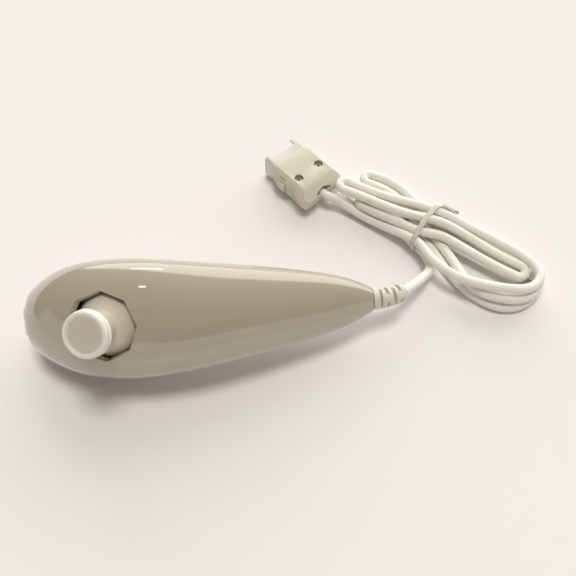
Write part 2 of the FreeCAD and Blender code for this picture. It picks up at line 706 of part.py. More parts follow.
def trigger():
    # A curved shell plate with two cheeks back to its pins, and a pusher for the dome.
    w = TRIGGER_HALF_WIDTH
    back = TRIGGER_PIN_X + TRIGGER_PIN_RADIUS + 0.5
    plate = box(-TRIGGER_PROUD, back, -w, w, TRIGGER_BOTTOM, TRIGGER_TOP)
    crown = rod(V(9.0, 0, TRIGGER_BOTTOM - 3), V(9.0, 0, TRIGGER_TOP + 3), 9.0 + TRIGGER_PROUD)
    plate = plate.common(crown)
    front = [e for e in plate.Edges if all(v.Point.x < 1.0 for v in e.Vertexes)]
    plate = plate.makeFillet(0.9, front)
    room = box(0.2, back + 3, -w + 1.5, w - 1.5, TRIGGER_BOTTOM + 1.4, TRIGGER_TOP + 1)
    low = box(NOSE_WALL + 0.8, back + 3, -w - 1, w + 1, TRIGGER_BOTTOM - 1, TRIGGER_PIN_Z - 2.6)
    plate = cut(plate, room, low)
    cheek_top = TRIGGER_PIN_Z + TRIGGER_PIN_RADIUS + 0.3
    cheeks = [box(NOSE_WALL + 0.6, back, y, y + 1.5, TRIGGER_PIN_Z - 2.6, cheek_top)
              for y in (-w, w - 1.5)]
    left = rod(V(TRIGGER_PIN_X, -w - 2.3, TRIGGER_PIN_Z), V(TRIGGER_PIN_X, -w + 0.4, TRIGGER_PIN_Z),
               TRIGGER_PIN_RADIUS)
    right = rod(V(TRIGGER_PIN_X, w - 0.4, TRIGGER_PIN_Z), V(TRIGGER_PIN_X, w + 1.5, TRIGGER_PIN_Z),
                TRIGGER_PIN_RADIUS)
    pusher = rod(V(0.0, 0, PUSHER_Z), V(DOME_BUTTON_X - 0.1, 0, PUSHER_Z), 1.5)
    return fuse(plate, *cheeks, left, right, pusher)


def button_bracket():
    # An upright plate across the nose with two ears for the trigger's pins.
    x = BRACKET_X
    w = BRACKET_HALF_WIDTH
    plate = box(x, x + BRACKET_THICK, -w, w, BRACKET_BOTTOM, BRACKET_TOP)
    corners = [e for e in plate.Edges if abs(e.tangentAt(e.FirstParameter).x) > 0.9]
    shape = plate.makeFillet(4.2, corners)
    z = TRIGGER_PIN_Z
    bore = rod(V(TRIGGER_PIN_X, -12, z), V(TRIGGER_PIN_X, 12, z), TRIGGER_PIN_RADIUS + RUN_FIT)
    for side in (-1, 1):
        y0 = side * (TRIGGER_HALF_WIDTH + PLAY)
        y1 = side * (TRIGGER_HALF_WIDTH + PLAY + 1.2)
        ear = box(NOSE_WALL + 0.6, x + 0.4, min(y0, y1), max(y0, y1), z - 1.9, z + 1.7)
        shape = shape.fuse(ear.cut(bore))
    slot = box(x - 1, x + 5, -RIBBON_HALF - 0.2, RIBBON_HALF + 0.2, RIBBON_Z - 0.5, RIBBON_Z + 0.5)
    return shape.cut(slot).removeSplitter()


def rubber_domes():
    sheet_x = DOME_BUTTON_X + RUBBER_DOME
    sheet = box(sheet_x, sheet_x + RUBBER_THICK, -5.0, 5.0, PUSHER_Z - 2.5, BUTTON_Z + 3.0)
    domes = [Part.makeCone(2.4, 1.7, RUBBER_DOME + 0.1, V(sheet_x + 0.1, 0, z), V(-1, 0, 0))
             for z in (BUTTON_Z, PUSHER_Z)]
    return fuse(sheet, *domes)


def button_board():
    return box(BRACKET_X - BUTTON_BOARD_THICK, BRACKET_X, -6.0, 6.0, PUSHER_Z - 2.6, BUTTON_Z + 3.2)


def trigger_spring():
    # One turn of wire on the left pin outside its ear, with a leg on the bracket.
    z = TRIGGER_PIN_Z
    y = -TRIGGER_HALF_WIDTH - PLAY - 1.2 - 0.4
    ring_radius = TRIGGER_PIN_RADIUS + 0.1 + TRIGGER_WIRE
    ring = Part.makeTorus(ring_radius, TRIGGER_WIRE, V(TRIGGER_PIN_X, y, z), V(0, 1, 0))
    leg = rod(V(TRIGGER_PIN_X, y, z - ring_radius), V(BRACKET_X - TOUCH, y, z - ring_radius), TRIGGER_WIRE)
    return fuse(ring, leg)


def ribbon():
    # Flat jumper from the button board, through the bracket, to the main board's edge.
    start = V(BRACKET_X + TOUCH, 0, RIBBON_Z)
    end = STICK.multVec(V(-BOARD_FRONT - TOUCH, 0, -FRAME_BASE - BOARD_THICK / 2))
    before = STICK.multVec(V(-BOARD_FRONT - 2.0, 0, -FRAME_BASE - BOARD_THICK / 2))
    through = start + V(BRACKET_THICK + 1.4, 0, 0)
    sag = V((through.x + before.x) / 2, 0, min(through.z, before.z) - 1.6)
    profile = [start, through, sag, before, end]
    strips = []
    for a, b in zip(profile, profile[1:]):
        run = b - a
        across = V(-run.z, 0, run.x).normalize() * (RIBBON_THICK / 2)
        corners = [a + across, b + across, b - across, a - across]
        face = Part.Face(Part.makePolygon([V(p.x, -RIBBON_HALF, p.z) for p in corners + corners[:1]]))
        strips.append(face.extrude(V(0, 2 * RIBBON_HALF, 0)))
    joints = [rod(V(p.x, -RIBBON_HALF, p.z), V(p.x, RIBBON_HALF, p.z), RIBBON_THICK / 2)
              for p in profile[1:-1]]
    return fuse(*strips, *joints)


# How the whole body is set down: rolled, pitched, lowest point on the table, centred.
def lie_turn():
    return Turn(V(0, 1, 0), LIE_PITCH).multiply(Turn(V(1, 0, 0), LIE_ROLL))


def tail_place(place):
    # Where the sleeve leaves the body, with its bend kept level to the table.
    return Place(place.multVec(V(LENGTH, 0, SEAM_LINE[-1])), Turn(V(0, 1, 0), LIE_PITCH))


def set_down(shapes, relief):
    turn = Place(V(), lie_turn())
    lying = [moved(shape, turn) for shape in shapes] + [moved(relief, tail_place(turn))]
    bound = Part.makeCompound(lying).optimalBoundingBox(False, False)
    middle = V((bound.XMin + bound.XMax) / 2, (bound.YMin + bound.YMax) / 2, bound.ZMin)
    return Place(-middle, lie_turn())


# Strain relief: a slotted sleeve that bends towards the hank.
def sleeve_point(s):
    # Place and heading after running s along the bend, from the tail's end.
    bend, droop = radians(SLEEVE_BEND) * s / SLEEVE_LENGTH, radians(SLEEVE_DROOP)
    radius = SLEEVE_LENGTH / radians(SLEEVE_BEND)
    side = V(0, cos(droop), -sin(droop))
    place = V(radius * sin(bend), 0, 0) + side * (radius * (1 - cos(bend)))
    heading = V(cos(bend), 0, 0) + side * sin(bend)
    return place, heading


def sleeve_ring(s, radius):
    place, heading = sleeve_point(s)
    return Part.Wire(Part.Circle(place, heading, radius).toShape())


def strain_relief():
    steps = 4
    rings = []
    for k in range(steps + 1):
        s = SLEEVE_LENGTH * k / steps
        rings.append(sleeve_ring(s, SLEEVE_START + (SLEEVE_END - SLEEVE_START) * k / steps))
    sleeve = Part.makeLoft(rings, True, False)
    pitch = (SLEEVE_LENGTH - 2.2) / SLEEVE_SLOTS
    for k in range(SLEEVE_SLOTS):
        place, heading = sleeve_point(1.6 + pitch * k)
        frame = Place(place, Turn(V(1, 0, 0), heading))
        turned = frame.multiply(Place(V(), Turn(V(1, 0, 0), LIE_ROLL + 90 * ((k + 1) % 2))))
        for side in (0, 180):
            slot = box(0, SLOT_WIDTH, SLOT_WEB, 6, -6, 6)
            slot = moved(slot, Place(V(), Turn(V(1, 0, 0), side)))
            sleeve = sleeve.cut(moved(slot, turned))
    core = rod(V(-COLLAR_PLACE - 1, 0, 0), V(0.05, 0, 0), NECK_TAIL_RADIUS)
    collar = rod(V(-COLLAR_PLACE, 0, 0), V(-COLLAR_PLACE + COLLAR_LENGTH, 0, 0), COLLAR_RADIUS)
    jacket = rod(V(-TAIL_SOLID - JACKET_INSIDE, 0, 0), V(-COLLAR_PLACE, 0, 0), CORD_RADIUS)
    return fuse(sleeve, core, collar, jacket)


def cord_anchor():
    # A saddle that grips the jacket just inside the tail and stands on a pad.
    x = LENGTH - TAIL_SOLID - 2.6
    z = SEAM_LINE[-1]
    block = box(x - 1.3, x + 1.3, -3.2, 3.2, z - ANCHOR_HALF, z + ANCHOR_HALF)
    corners = [e for e in block.Edges if abs(e.tangentAt(e.FirstParameter).x) > 0.9]
    return block.makeFillet(1.2, corners).cut(rod(V(x - 3, 0, z), V(x + 3, 0, z), CORD_RADIUS + TOUCH))


# Hank, in its own frame: X along the bundle, Y to the far side, origin under the tie.
HANK = Place(V(HANK_X, HANK_Y, 0), Turn(V(0, 0, 1), HANK_YAW))
FORWARD, BACK = V(1, 0, 0), V(-1, 0, 0)


def biarc(start, start_heading, end, end_heading):
    # Two arcs that leave start and reach end along the given headings.
    gap, both = end - start, start_heading + end_heading
    a = 2 * (1 - start_heading.dot(end_heading))
    b, c = gap.dot(both), gap.dot(gap)
    if a < 1e-9:
        d = c / (4 * gap.dot(end_heading))
    else:
        d = (sqrt(b * b + a * c) - b) / a
    middle = (start + end + (start_heading - end_heading) * d) * 0.5
    heading = heading_after(start, start_heading, middle)
    return [bend(start, start_heading, middle), bend(middle, heading, end)]


def heading_after(start, heading, end):
    chord = (end - start).normalize()
    return chord * (2 * heading.dot(chord)) - heading


def bend(start, heading, end):
    chord = end - start
    length = chord.Length
    unit = chord * (1 / length)
    side = heading - unit * heading.dot(unit)
    if side.Length < 1e-7:
        return Part.LineSegment(start, end)
    angle = acos(max(-1.0, min(1.0, heading.dot(unit))))
    side.normalize()
    return Part.Arc(start, start + chord * 0.5 + side * (length / 2 * tan(angle / 2)), end)


def hank_path():
    # Layer 0 winds inwards and layer 1 outwards; the climb is along one near run.
    def layer_at(k):
        return min(2 * k // TURNS, 1)

    def is_inner(k):
        return k in (TURNS // 2 - 1, TURNS // 2)

    def column(k):
        return WAIST_STEP * abs(k - (TURNS - 1) / 2)

    def waist_z(layer):
        return WAIST_HEIGHT + LAYER_STEP * layer

    pieces = []
    half = WAIST_RUN / 2
    here = V(-half, -column(0), waist_z(0))
    stub = here + BACK * CORD_DIAMETER
    pieces.append(Part.LineSegment(here, stub))
    here = stub
    for k in range(TURNS):
        layer = layer_at(k)
        z = END_HEIGHT + LAYER_STEP * layer
        left = LEFT_INNER if is_inner(k) else LEFT_TURN
        left_s = -LEFT_REACH + (LEFT_SHORTER if is_inner(k) else 0) + left
        fan = 0 if is_inner(k) else FAN * (1 - layer)
        right = (RIGHT_INNER if is_inner(k) else RIGHT_TURN) + fan
        right_s = RIGHT_REACH - (RIGHT_SHORTER if is_inner(k) else 0) - right
        stops = [(V(left_s, LEFT_SHIFT - left, z), BACK), (V(left_s - left, LEFT_SHIFT, z), V(0, 1, 0)),
                 (V(left_s, LEFT_SHIFT + left, z), FORWARD), (V(-half, column(k), waist_z(layer)), FORWARD),
                 (V(half, column(k), waist_z(layer)), FORWARD), (V(right_s, right - fan, z), FORWARD),
                 (V(right_s + right, -fan, z), V(0, -1, 0)), (V(right_s, -right - fan, z), BACK)]
        following = layer_at(k + 1)
        if following > layer:
            slope = V(-1, 0, CLIMB_SLOPE).normalize()
            stops.append((V(CLIMB_AT, CLIMB_SIDE, CLIMB_HEIGHT), slope))
        stops.append((V(half, -column(k + 1), waist_z(following)), BACK))
        stops.append((V(-half, -column(k + 1), waist_z(following)), BACK))
        heading = BACK
        for point, next_heading in stops:
            straight = (point - here).cross(heading).Length < 1e-7
            pieces += [Part.LineSegment(here, point)] if straight else \
                biarc(here, heading, point, next_heading)
            here, heading = point, next_heading
    return Part.Wire([piece.toShape() for piece in pieces])


def least_gap(path, step, skip):
    # Least distance between two places on the path that are not near neighbours along it.
    points, run, total = [], [], 0.0
    for edge in path.OrderedEdges:
        count = max(2, int(edge.Length / step))
        points += edge.discretize(count + 1)[:-1]
        run += [total + edge.Length * k / count for k in range(count)]
        total += edge.Length
    best = 1e9
    for i, a in enumerate(points):
        for j in range(i + 1, len(points)):
            if run[j] - run[i] > skip:
                best = min(best, a.distanceToPoint(points[j]))
    return best


def cord_hank():
    path = hank_path()
    first = path.OrderedEdges[0]
    start = V(-WAIST_RUN / 2, -WAIST_STEP * (TURNS - 1) / 2, WAIST_HEIGHT)
    ring = Part.Wire(Part.Circle(start, BACK, CORD_RADIUS).toShape())
    tube = path.makePipeShell([ring], True, False)
    expected = pi * CORD_RADIUS**2 * path.Length
    print("hank length", round(path.Length, 1), "volume to section x length",
          round(tube.Volume / expected, 4), "first run", round(first.Length, 2))
    print("hank least gap to itself", round(least_gap(path, 1.6, 14.0) - CORD_DIAMETER, 2))
    return moved(tube, HANK)


def hank_point(s, q, z):
    return HANK.multVec(V(s, q, z))


def free_cord(name, points):
    path, radii = rounded_path(points)
    tube = sweep_round((path, radii), CORD_RADIUS)
    expected = pi * CORD_RADIUS**2 * path.Length
    print(name, "length", round(path.Length, 1), "radii", [round(r, 1) for r in radii],
          "volume to section x length", round(tube.Volume / expected, 4))
    return tube


def lead_points(start, heading):
    end = hank_point(-WAIST_RUN / 2, -WAIST_STEP * (TURNS - 1) / 2, WAIST_HEIGHT)
    run = start + heading * 4.6
    near = -WAIST_STEP * (TURNS - 1) / 2
    return [start, run, V(67.6, 10.4, 8.6), V(71.4, 15.6, 5.8), hank_point(6.4, -15.2, 2.9),
            hank_point(5.4, -10.2, 2.7), hank_point(2.2, near, WAIST_HEIGHT), end]


def plug_place():
    return Place(V(PLUG_X, PLUG_Y, 0), Turn(V(0, 0, 1), PLUG_YAW))


def tail_points():
    start = hank_point(-WAIST_RUN / 2, -WAIST_STEP * (TURNS + 1) / 2, WAIST_HEIGHT + LAYER_STEP)
    end = plug_place().multVec(V(PLUG_CORD_X, 0, PLUG_HEIGHT / 2))
    lead_in = plug_place().multVec(V(PLUG_CORD_X + 6.0, 0, PLUG_HEIGHT / 2))
    side = -WAIST_STEP * (TURNS + 1) / 2
    return [start, hank_point(-7.4, side, WAIST_HEIGHT + LAYER_STEP), hank_point(-15.0, -12.2, 4.6),
            hank_point(-22.5, -12.9, 2.2), hank_point(-29.5, -12.4, 2.9), lead_in, end]


# Twist tie: a flat band round the bundle with two curled ends.
def tie_band():
    r = CORD_RADIUS + TIE_GAP
    low_z, high_z = WAIST_HEIGHT, WAIST_HEIGHT + LAYER_STEP
    near = -WAIST_STEP * (TURNS + 1) / 2
    far = WAIST_STEP * (TURNS - 1) / 2

    def outline(radius):
        centres = [V(0, far, low_z), V(0, far, high_z), V(0, near, high_z), V(0, near, low_z)]
        edges, points = [], []
        for i, c in enumerate(centres):
            before, after = centres[i - 1], centres[(i + 1) % 4]
            out_a = V(0, (c - before).z, -(c - before).y).normalize()
            out_b = V(0, (after - c).z, -(after - c).y).normalize()
            mid = (out_a + out_b).normalize()
            points.append((c + out_a * radius, c + mid * radius, c + out_b * radius))
        for i, (a, m, b) in enumerate(points):
            edges.append(Part.Arc(a, m, b).toShape())
            edges.append(Part.makeLine(b, points[(i + 1) % 4][0]))
        return Part.Face(Part.Wire(edges))

    band = outline(r + TIE_THICK).cut(outline(r)).extrude(V(TIE_WIDTH, 0, 0))
    band.translate(V(-TIE_WIDTH / 2, 0, 0))
    return band, V(0, far, high_z + r)


def twist_tie():
    band, corner = tie_band()
    tails = []
    for side, lean in ((-1, 0.9), (1, 0.2)):
        start = corner + V(side * 0.45, 0.4, TIE_THICK / 2)
        rise = start + V(side * 0.5, 1.6, 1.6)
        end = rise + V(side * 1.2 + lean, TIE_TAIL - 4.0, 0.3)
        tails += [rod(start, rise, TIE_THICK / 2), Part.makeSphere(TIE_THICK / 2, rise),
                  rod(rise, end, TIE_THICK / 2)]
    return moved(fuse(band, *tails), HANK)


# Plug, in its own frame: X from the nose towards the cord, Z up from the table.
def rounded_bar(x0, x1, half_y, z0, z1, corner):
    bar = box(x0, x1, -half_y, half_y, z0, z1)
    edges = [e for e in bar.Edges if abs(e.tangentAt(e.FirstParameter).x) > 0.9]
    return bar.makeFillet(corner, edges)


def plug_plan():
    # Straight cheeks beside the latches, a waist, and wings at the cord end.
    side = [V(x, y, 0) for x, y in PLUG_SIDE]
    mirrored = [V(x, -y, 0) for x, y in PLUG_SIDE]
    curves = []
    for points in (side, mirrored):
        curve = Part.BSplineCurve()
        curve.interpolate(points)
        curves.append(curve.toShape())
    ends = [Part.makeLine(side[0], mirrored[0]), Part.makeLine(side[-1], mirrored[-1])]
    wire = Part.Wire(Part.__sortEdges__(curves + ends))
    return Part.Face(wire).extrude(V(0, 0, PLUG_HEIGHT))


def plug_body():
    # The plan cut by sloping ends and flanks, widest at the seam.
    top, base, h = PLUG_TOP_HALF, PLUG_BASE_HALF, PLUG_HEIGHT
    low, high = h / 2 - PLUG_RIM, h / 2 + PLUG_RIM
    across = [(-top + 0.9, 0), (-top, 0.9), (-base, low), (-base, high), (-top, h - 0.9), (-top + 0.9, h)]
    across += [(-y, z) for y, z in reversed(across)]
    flanks = Part.Face(Part.makePolygon([V(-1, y, z) for y, z in across + across[:1]])).extrude(V(40, 0, 0))
    lengthwise = [(NOSE_LENGTH, 0.4), (NOSE_LENGTH + 0.4, 0), (PLUG_TOP_END - 0.8, 0), (PLUG_TOP_END, 0.6),
                  (PLUG_BASE_END, low), (PLUG_BASE_END, high), (PLUG_TOP_END, h - 0.6),
                  (PLUG_TOP_END - 0.8, h), (NOSE_LENGTH + 0.4, h), (NOSE_LENGTH, h - 0.4)]
    profile = [V(x, -20, z) for x, z in lengthwise + lengthwise[:1]]
    return plug_plan().common(flanks).common(Part.Face(Part.makePolygon(profile)).extrude(V(0, 40, 0)))


def plug_room():
    half = PLUG_TOP_HALF - PLUG_WALL
    return box(NOSE_LENGTH - NOSE_INSERT, PLUG_ROOM_END, -half, half, PLUG_WALL, PLUG_HEIGHT - PLUG_WALL)


def plug_nose_bar(shrink=0.0):
    half = NOSE_HALF_WIDTH - shrink
    low = (PLUG_HEIGHT - NOSE_HEIGHT) / 2 + shrink
    return rounded_bar(0, NOSE_LENGTH + NOSE_INSERT, half, low, low + NOSE_HEIGHT - 2 * shrink, 1.2)


def both_sides(x0, x1, y0, y1, z0, z1):
    return fuse(box(x0, x1, y0, y1, z0, z1), box(x0, x1, -y1, -y0, z0, z1))


def latch_windows():
    mid = PLUG_HEIGHT / 2
    tall = LATCH_HALF_HEIGHT + PLAY
    return both_sides(LATCH_START - PLAY, LATCH_END + PLAY, 5.0, 12.0, mid - tall, mid + tall)


def plug_shell(upper):
    mid = PLUG_HEIGHT / 2
    shell = plug_body().cut(plug_room())
    for side in (-1, 1):
        boss = rod(V(PLUG_SCREW_X, side * PLUG_SCREW_Y, 0.6),
                   V(PLUG_SCREW_X, side * PLUG_SCREW_Y, PLUG_HEIGHT - 0.4), PLUG_POCKET + 0.4)
        shell = shell.fuse(boss)
        hole = rod(V(PLUG_SCREW_X, side * PLUG_SCREW_Y, 1.4), V(PLUG_SCREW_X, side * PLUG_SCREW_Y, 20),
                   PLUG_SCREW_RADIUS + TOUCH)
        pocket = rod(V(PLUG_SCREW_X, side * PLUG_SCREW_Y, PLUG_HEIGHT - PLUG_SCREW_SINK),
                     V(PLUG_SCREW_X, side * PLUG_SCREW_Y, 20), PLUG_POCKET)
        shell = cut(shell, hole, pocket)
    entry = rod(V(PLUG_CORD_X, 0, mid), V(40, 0, mid), CORD_RADIUS + 0.35)
    mouth = Part.makeCone(CORD_RADIUS + 0.35, CORD_RADIUS + 2.6, 2.2, V(PLUG_CORD_X + 0.7, 0, mid),
                          V(1, 0, 0))
    release = both_sides(LATCH_START + 1.2, LATCH_END - 0.4, PLUG_TOP_HALF - 0.1, 12.0, mid + 3.2, mid + 4.0)
    shell = cut(shell, plug_nose_bar(-TOUCH), entry, mouth, latch_windows(), release)
    half = box(-5, 50, -30, 30, mid + SEAM_GAP / 2, 30) if upper else \
        box(-5, 50, -30, 30, -5, mid - SEAM_GAP / 2)
    return shell.common(half)


def plug_screws():
    screws = []
    for side in (-1, 1):
        x, y, seat = PLUG_SCREW_X, side * PLUG_SCREW_Y, PLUG_HEIGHT - PLUG_SCREW_SINK
        head = rod(V(x, y, seat), V(x, y, seat + 0.9), PLUG_SCREW_HEAD)
        drive = rod(V(x, y, seat + 0.4), V(x, y, seat + 2), 0.6)
        shank = rod(V(x, y, 1.8), V(x, y, seat), PLUG_SCREW_RADIUS)
        screws.append(fuse(head, shank).cut(drive))
    return Part.makeCompound(screws)


def plug_nose():
    # The sleeve round the contacts, and the core behind it that backs the latch springs.
    mid = PLUG_HEIGHT / 2
    inside = plug_nose_bar(SLEEVE_WALL).common(box(-1, NOSE_LENGTH, -20, 20, 0, 20))
    core = box(NOSE_LENGTH + 1, LATCH_END + 0.2, -CORE_HALF, CORE_HALF, mid - 2.0, mid + 2.0)
    top = (PLUG_HEIGHT + NOSE_HEIGHT) / 2
    notch = box(-1, 2.4, -5.2, 5.2, top - SLEEVE_WALL - 0.1, 20)
    return fuse(plug_nose_bar().cut(inside), core).cut(notch)


def contact_block():
    mid = PLUG_HEIGHT / 2
    return box(1.4, NOSE_LENGTH, -5.4, 5.4, mid - 1.1, mid + 1.1)


def plug_contacts():
    mid = PLUG_HEIGHT / 2
    strips = []
    per_side = CONTACT_COUNT // 2
    for k in range(per_side):
        y = (k - (per_side - 1) / 2) * 3.2
        strips.append(box(1.8, NOSE_LENGTH, y - 0.6, y + 0.6, mid + 1.1, mid + 1.35))
        strips.append(box(1.8, NOSE_LENGTH, y - 0.6, y + 0.6, mid - 1.35, mid - 1.1))
    return Part.makeCompound(strips)


def latch(side):
    # A grip that stands proud of its window, with a taller foot behind the wall.
    mid = PLUG_HEIGHT / 2
    wall = PLUG_TOP_HALF - PLUG_WALL
    y_out = PLUG_LATCH_HALF + LATCH_PROUD
    grip = box(LATCH_START, LATCH_END, wall - 0.8, y_out, mid - LATCH_HALF_HEIGHT, mid + LATCH_HALF_HEIGHT)
    outer = [e for e in grip.Edges if all(abs(v.Point.y - y_out) < 1e-6 for v in e.Vertexes)]
    grip = grip.makeFillet(0.6, outer)
    tall = LATCH_HALF_HEIGHT + 0.8
    foot = box(LATCH_START - 0.4, LATCH_END, wall - 1.1, wall - 0.25, mid - tall, mid + tall)
    whole = fuse(grip, foot)
    return whole if side > 0 else moved(whole, Place(V(LATCH_START + LATCH_END, 0, 0), Turn(V(0, 0, 1), 180)))


def latch_springs():
    mid = PLUG_HEIGHT / 2
    x = (LATCH_START + LATCH_END) / 2
    end = PLUG_TOP_HALF - PLUG_WALL - 1.1
    return Part.makeCompound([rod(V(x, side * CORE_HALF, mid), V(x, side * end, mid), 0.7)
                              for side in (-1, 1)])


def in_plug(shape):
    return moved(shape, plug_place())


# Make everything and set it down.
def build():
    skin = body_loft()
    hollow = cavity_loft()
    lower_half = below_seam(SEAM_GAP)
    upper_cutter = below_seam(0.0)
    cap = stick_cap()
    relief = strain_relief()
    body = {
        "upper_shell": upper_shell(skin, hollow, upper_cutter),
        "lower_shell": lower_shell(skin, hollow, lower_half),
        "housing_screws": housing_screws(),
        "stick_cap": cap,
        "stick_shaft": stick_shaft(),
        "stick_module_frame": stick_module_frame(),
        "lower_rocker": lower_rocker(),
        "upper_rocker": upper_rocker(),
        "pot_x": pot(0),
        "pot_y": pot(90),
        "wiper_x": wiper(0),
        "wiper_y": wiper(90),
        "spring_plate": spring_plate(),
        "centring_spring": centring_spring(),
        "main_board": main_board(),
        "board_screws": board_screws(),
        "board_chips": board_chips(),
        "board_passives": board_passives(),
        "board_socket": board_socket(),
        "harness_plug": harness_plug(),
        "harness_wires": harness_wires(),
        "upper_button": upper_button(),
        "trigger": trigger(),
        "button_bracket": button_bracket(),
        "rubber_domes": rubber_domes(),
        "button_board": button_board(),
        "trigger_spring": trigger_spring(),
        "ribbon": ribbon(),
        "cord_anchor": cord_anchor(),
    }
    down = set_down([skin, cap, body["upper_button"], body["trigger"]], relief)
    for name, shape in body.items():
        export(name, moved(shape, down))
    tail = tail_place(down)
    export("strain_relief", moved(relief, tail))
    end, heading = sleeve_point(SLEEVE_LENGTH)
    cord_start, cord_heading = tail.multVec(end), tail.Rotation.multVec(heading)
    export("cord_lead", free_cord("lead", lead_points(cord_start, cord_heading)))
    export("cord_hank", cord_hank())
    export("cord_tail", free_cord("tail", tail_points()))
    export("twist_tie", twist_tie())
    export("plug_upper_shell", in_plug(plug_shell(True)))
    export("plug_lower_shell", in_plug(plug_shell(False)))
    export("plug_screws", in_plug(plug_screws()))
    export("plug_nose", in_plug(plug_nose()))
    export("contact_block", in_plug(contact_block()))
    export("plug_contacts", in_plug(plug_contacts()))
    export("latch_left", in_plug(latch(1)))
    export("latch_right", in_plug(latch(-1)))
    export("latch_springs", in_plug(latch_springs()))
    print("pivot", down.multVec(STICK.Base), "stick axes",
          [down.Rotation.multVec(STICK.Rotation.multVec(a)) for a in (V(1, 0, 0), V(0, 1, 0), V(0, 0, 1))])
    pin = down.multVec(V(TRIGGER_PIN_X, 0, TRIGGER_PIN_Z))
    print("trigger pin", pin, "body axes", [down.Rotation.multVec(a) for a in (V(1, 0, 0), V(0, 1, 0))])
    print("sleeve end", cord_start, cord_heading)


build()
for name, shape in NODES.items():
    solids = len(shape.Solids)
    if not shape.isValid() or not solids:
        print("CHECK", name, "valid", shape.isValid(), "solids", solids)
    shape.exportStep("parts/" + name + ".step")
print("nodes", len(NODES))
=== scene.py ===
# %% [markdown]
# # A one-handed motion controller on a table
# The controller lies rolled towards us, with its cord in a tied hank and its plug behind.
# The CAD model gives every place, so it is loaded first. Each cell then makes one piece or
# one finish, and says how the real one is made and why it is built this way here.

# %% Load the CAD model and keep its size
import json
import bmesh
import bpy
import numpy as np
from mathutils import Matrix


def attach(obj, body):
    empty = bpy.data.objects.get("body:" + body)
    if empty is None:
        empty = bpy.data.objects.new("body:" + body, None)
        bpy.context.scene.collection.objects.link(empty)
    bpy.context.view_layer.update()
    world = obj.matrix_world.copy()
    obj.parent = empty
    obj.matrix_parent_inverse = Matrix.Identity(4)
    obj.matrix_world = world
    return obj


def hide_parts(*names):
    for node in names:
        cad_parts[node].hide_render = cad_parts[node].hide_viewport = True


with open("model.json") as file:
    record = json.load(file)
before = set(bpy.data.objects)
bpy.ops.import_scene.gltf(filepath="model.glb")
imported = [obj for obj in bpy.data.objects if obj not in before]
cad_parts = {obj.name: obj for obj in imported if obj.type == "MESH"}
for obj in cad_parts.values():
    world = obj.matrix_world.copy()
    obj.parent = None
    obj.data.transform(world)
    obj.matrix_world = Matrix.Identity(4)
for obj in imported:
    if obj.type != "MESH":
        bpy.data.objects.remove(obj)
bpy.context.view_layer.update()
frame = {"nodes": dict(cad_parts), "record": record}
nodes = frame["nodes"]
MM = 0.001


# %% [markdown]
# ## Where things lie
# The controller, the hank and the plug were each drawn upright in a frame of their own and
# then set down. The same three moves are needed here, so each frame is a turn and an origin.

# %% Frames of the body, the stick, the hank and the plug
def turn(axis, degrees):
    """Matrix of a turn about the x, y or z axis, by the right-hand rule."""
    a = np.radians(degrees)
    c, s = np.cos(a), np.sin(a)
    i, j = {"x": (1, 2), "y": (2, 0), "z": (0, 1)}[axis]
    matrix = np.eye(3)
    matrix[i, i] = matrix[j, j] = c
    matrix[i, j], matrix[j, i] = -s, s
    return matrix


def placed(points, matrix, origin):
    """Points of a piece's own frame, in millimetres, turned and then moved."""
    return np.asarray(points, float) @ matrix.T + np.asarray(origin, float)


PITCH, ROLL, STICK_LEAN, HANK_HEADING, PLUG_HEADING = 1.1, 37.5, -16.6, -38.5, -52.6
BODY_TURN, BODY_ORIGIN = turn("y", PITCH) @ turn("x", ROLL), (-60.945, 1.303, 17.930)
STICK_TURN, STICK_PIVOT = turn("y", STICK_LEAN), (29.743, 0.0, 4.058)
HANK_TURN, HANK_ORIGIN = turn("z", HANK_HEADING), (78.63, 35.3, 0.0)
PLUG_TURN, PLUG_ORIGIN = turn("z", PLUG_HEADING), (25.53, 72.3, 0.0)


def in_body(points):
    """From the upright body's frame, x from its nose to its tail, to the shared frame."""
    return placed(points, BODY_TURN, BODY_ORIGIN)


def in_stick(points):
    """From the stick's frame, z along its shaft and the pivot at 0, to the shared frame."""
    return in_body(placed(points, STICK_TURN, STICK_PIVOT))


def in_hank(points):
    """From the hank's frame, x along it and z up from the table, to the shared frame."""
    return placed(points, HANK_TURN, HANK_ORIGIN)


print("the stick turns about", in_stick([[0, 0, 0]]).round(2), "mm")


# %% [markdown]
# ## Camera
# The photograph looks down at about 62 degrees from the near side, with the horizon level.
# A look-at turn is built from three axes, so that nothing depends on a constraint.

# %% Camera at the photograph's angle
def in_scene(name, data):
    """A new object with this data, linked to the scene."""
    thing = bpy.data.objects.new(name, data)
    bpy.context.scene.collection.objects.link(thing)
    return thing
def look_at(position, target):
    """Axes of a camera: back along the line of sight, right, and up."""
    back = np.subtract(position, target)
    back = back / np.linalg.norm(back)
    right = np.cross((0, 0, 1), back)
    right = right / np.linalg.norm(right)
    matrix = np.eye(4)
    matrix[:3, 0], matrix[:3, 1], matrix[:3, 2] = right, np.cross(back, right), back
    matrix[:3, 3] = position
    return matrix.T.tolist()


EYE, AIM = np.array([14.66, -95.07, 209.57]) * MM, np.array([24.03, 16.57, 0.0]) * MM
FOCAL_LENGTH, SENSOR_WIDTH, NEAREST = 41.44, 36.0, 0.01
lens = bpy.data.cameras.new("camera")
lens.lens, lens.sensor_width, lens.clip_start = FOCAL_LENGTH, SENSOR_WIDTH, NEAREST
camera = in_scene("camera", lens)
camera.matrix_world = look_at(EYE, AIM)
bpy.context.scene.camera = camera
bpy.context.scene.view_settings.view_transform = "Standard"
print("camera", EYE.round(4), "lens", lens.lens)


# %% [markdown]
# ## Cord
# A real hank is one cord wound round two fingers and drawn in by a tie. The curve is one open
# NURBS line: straight out of the sleeve, down to the table, four turns, and away to the plug.

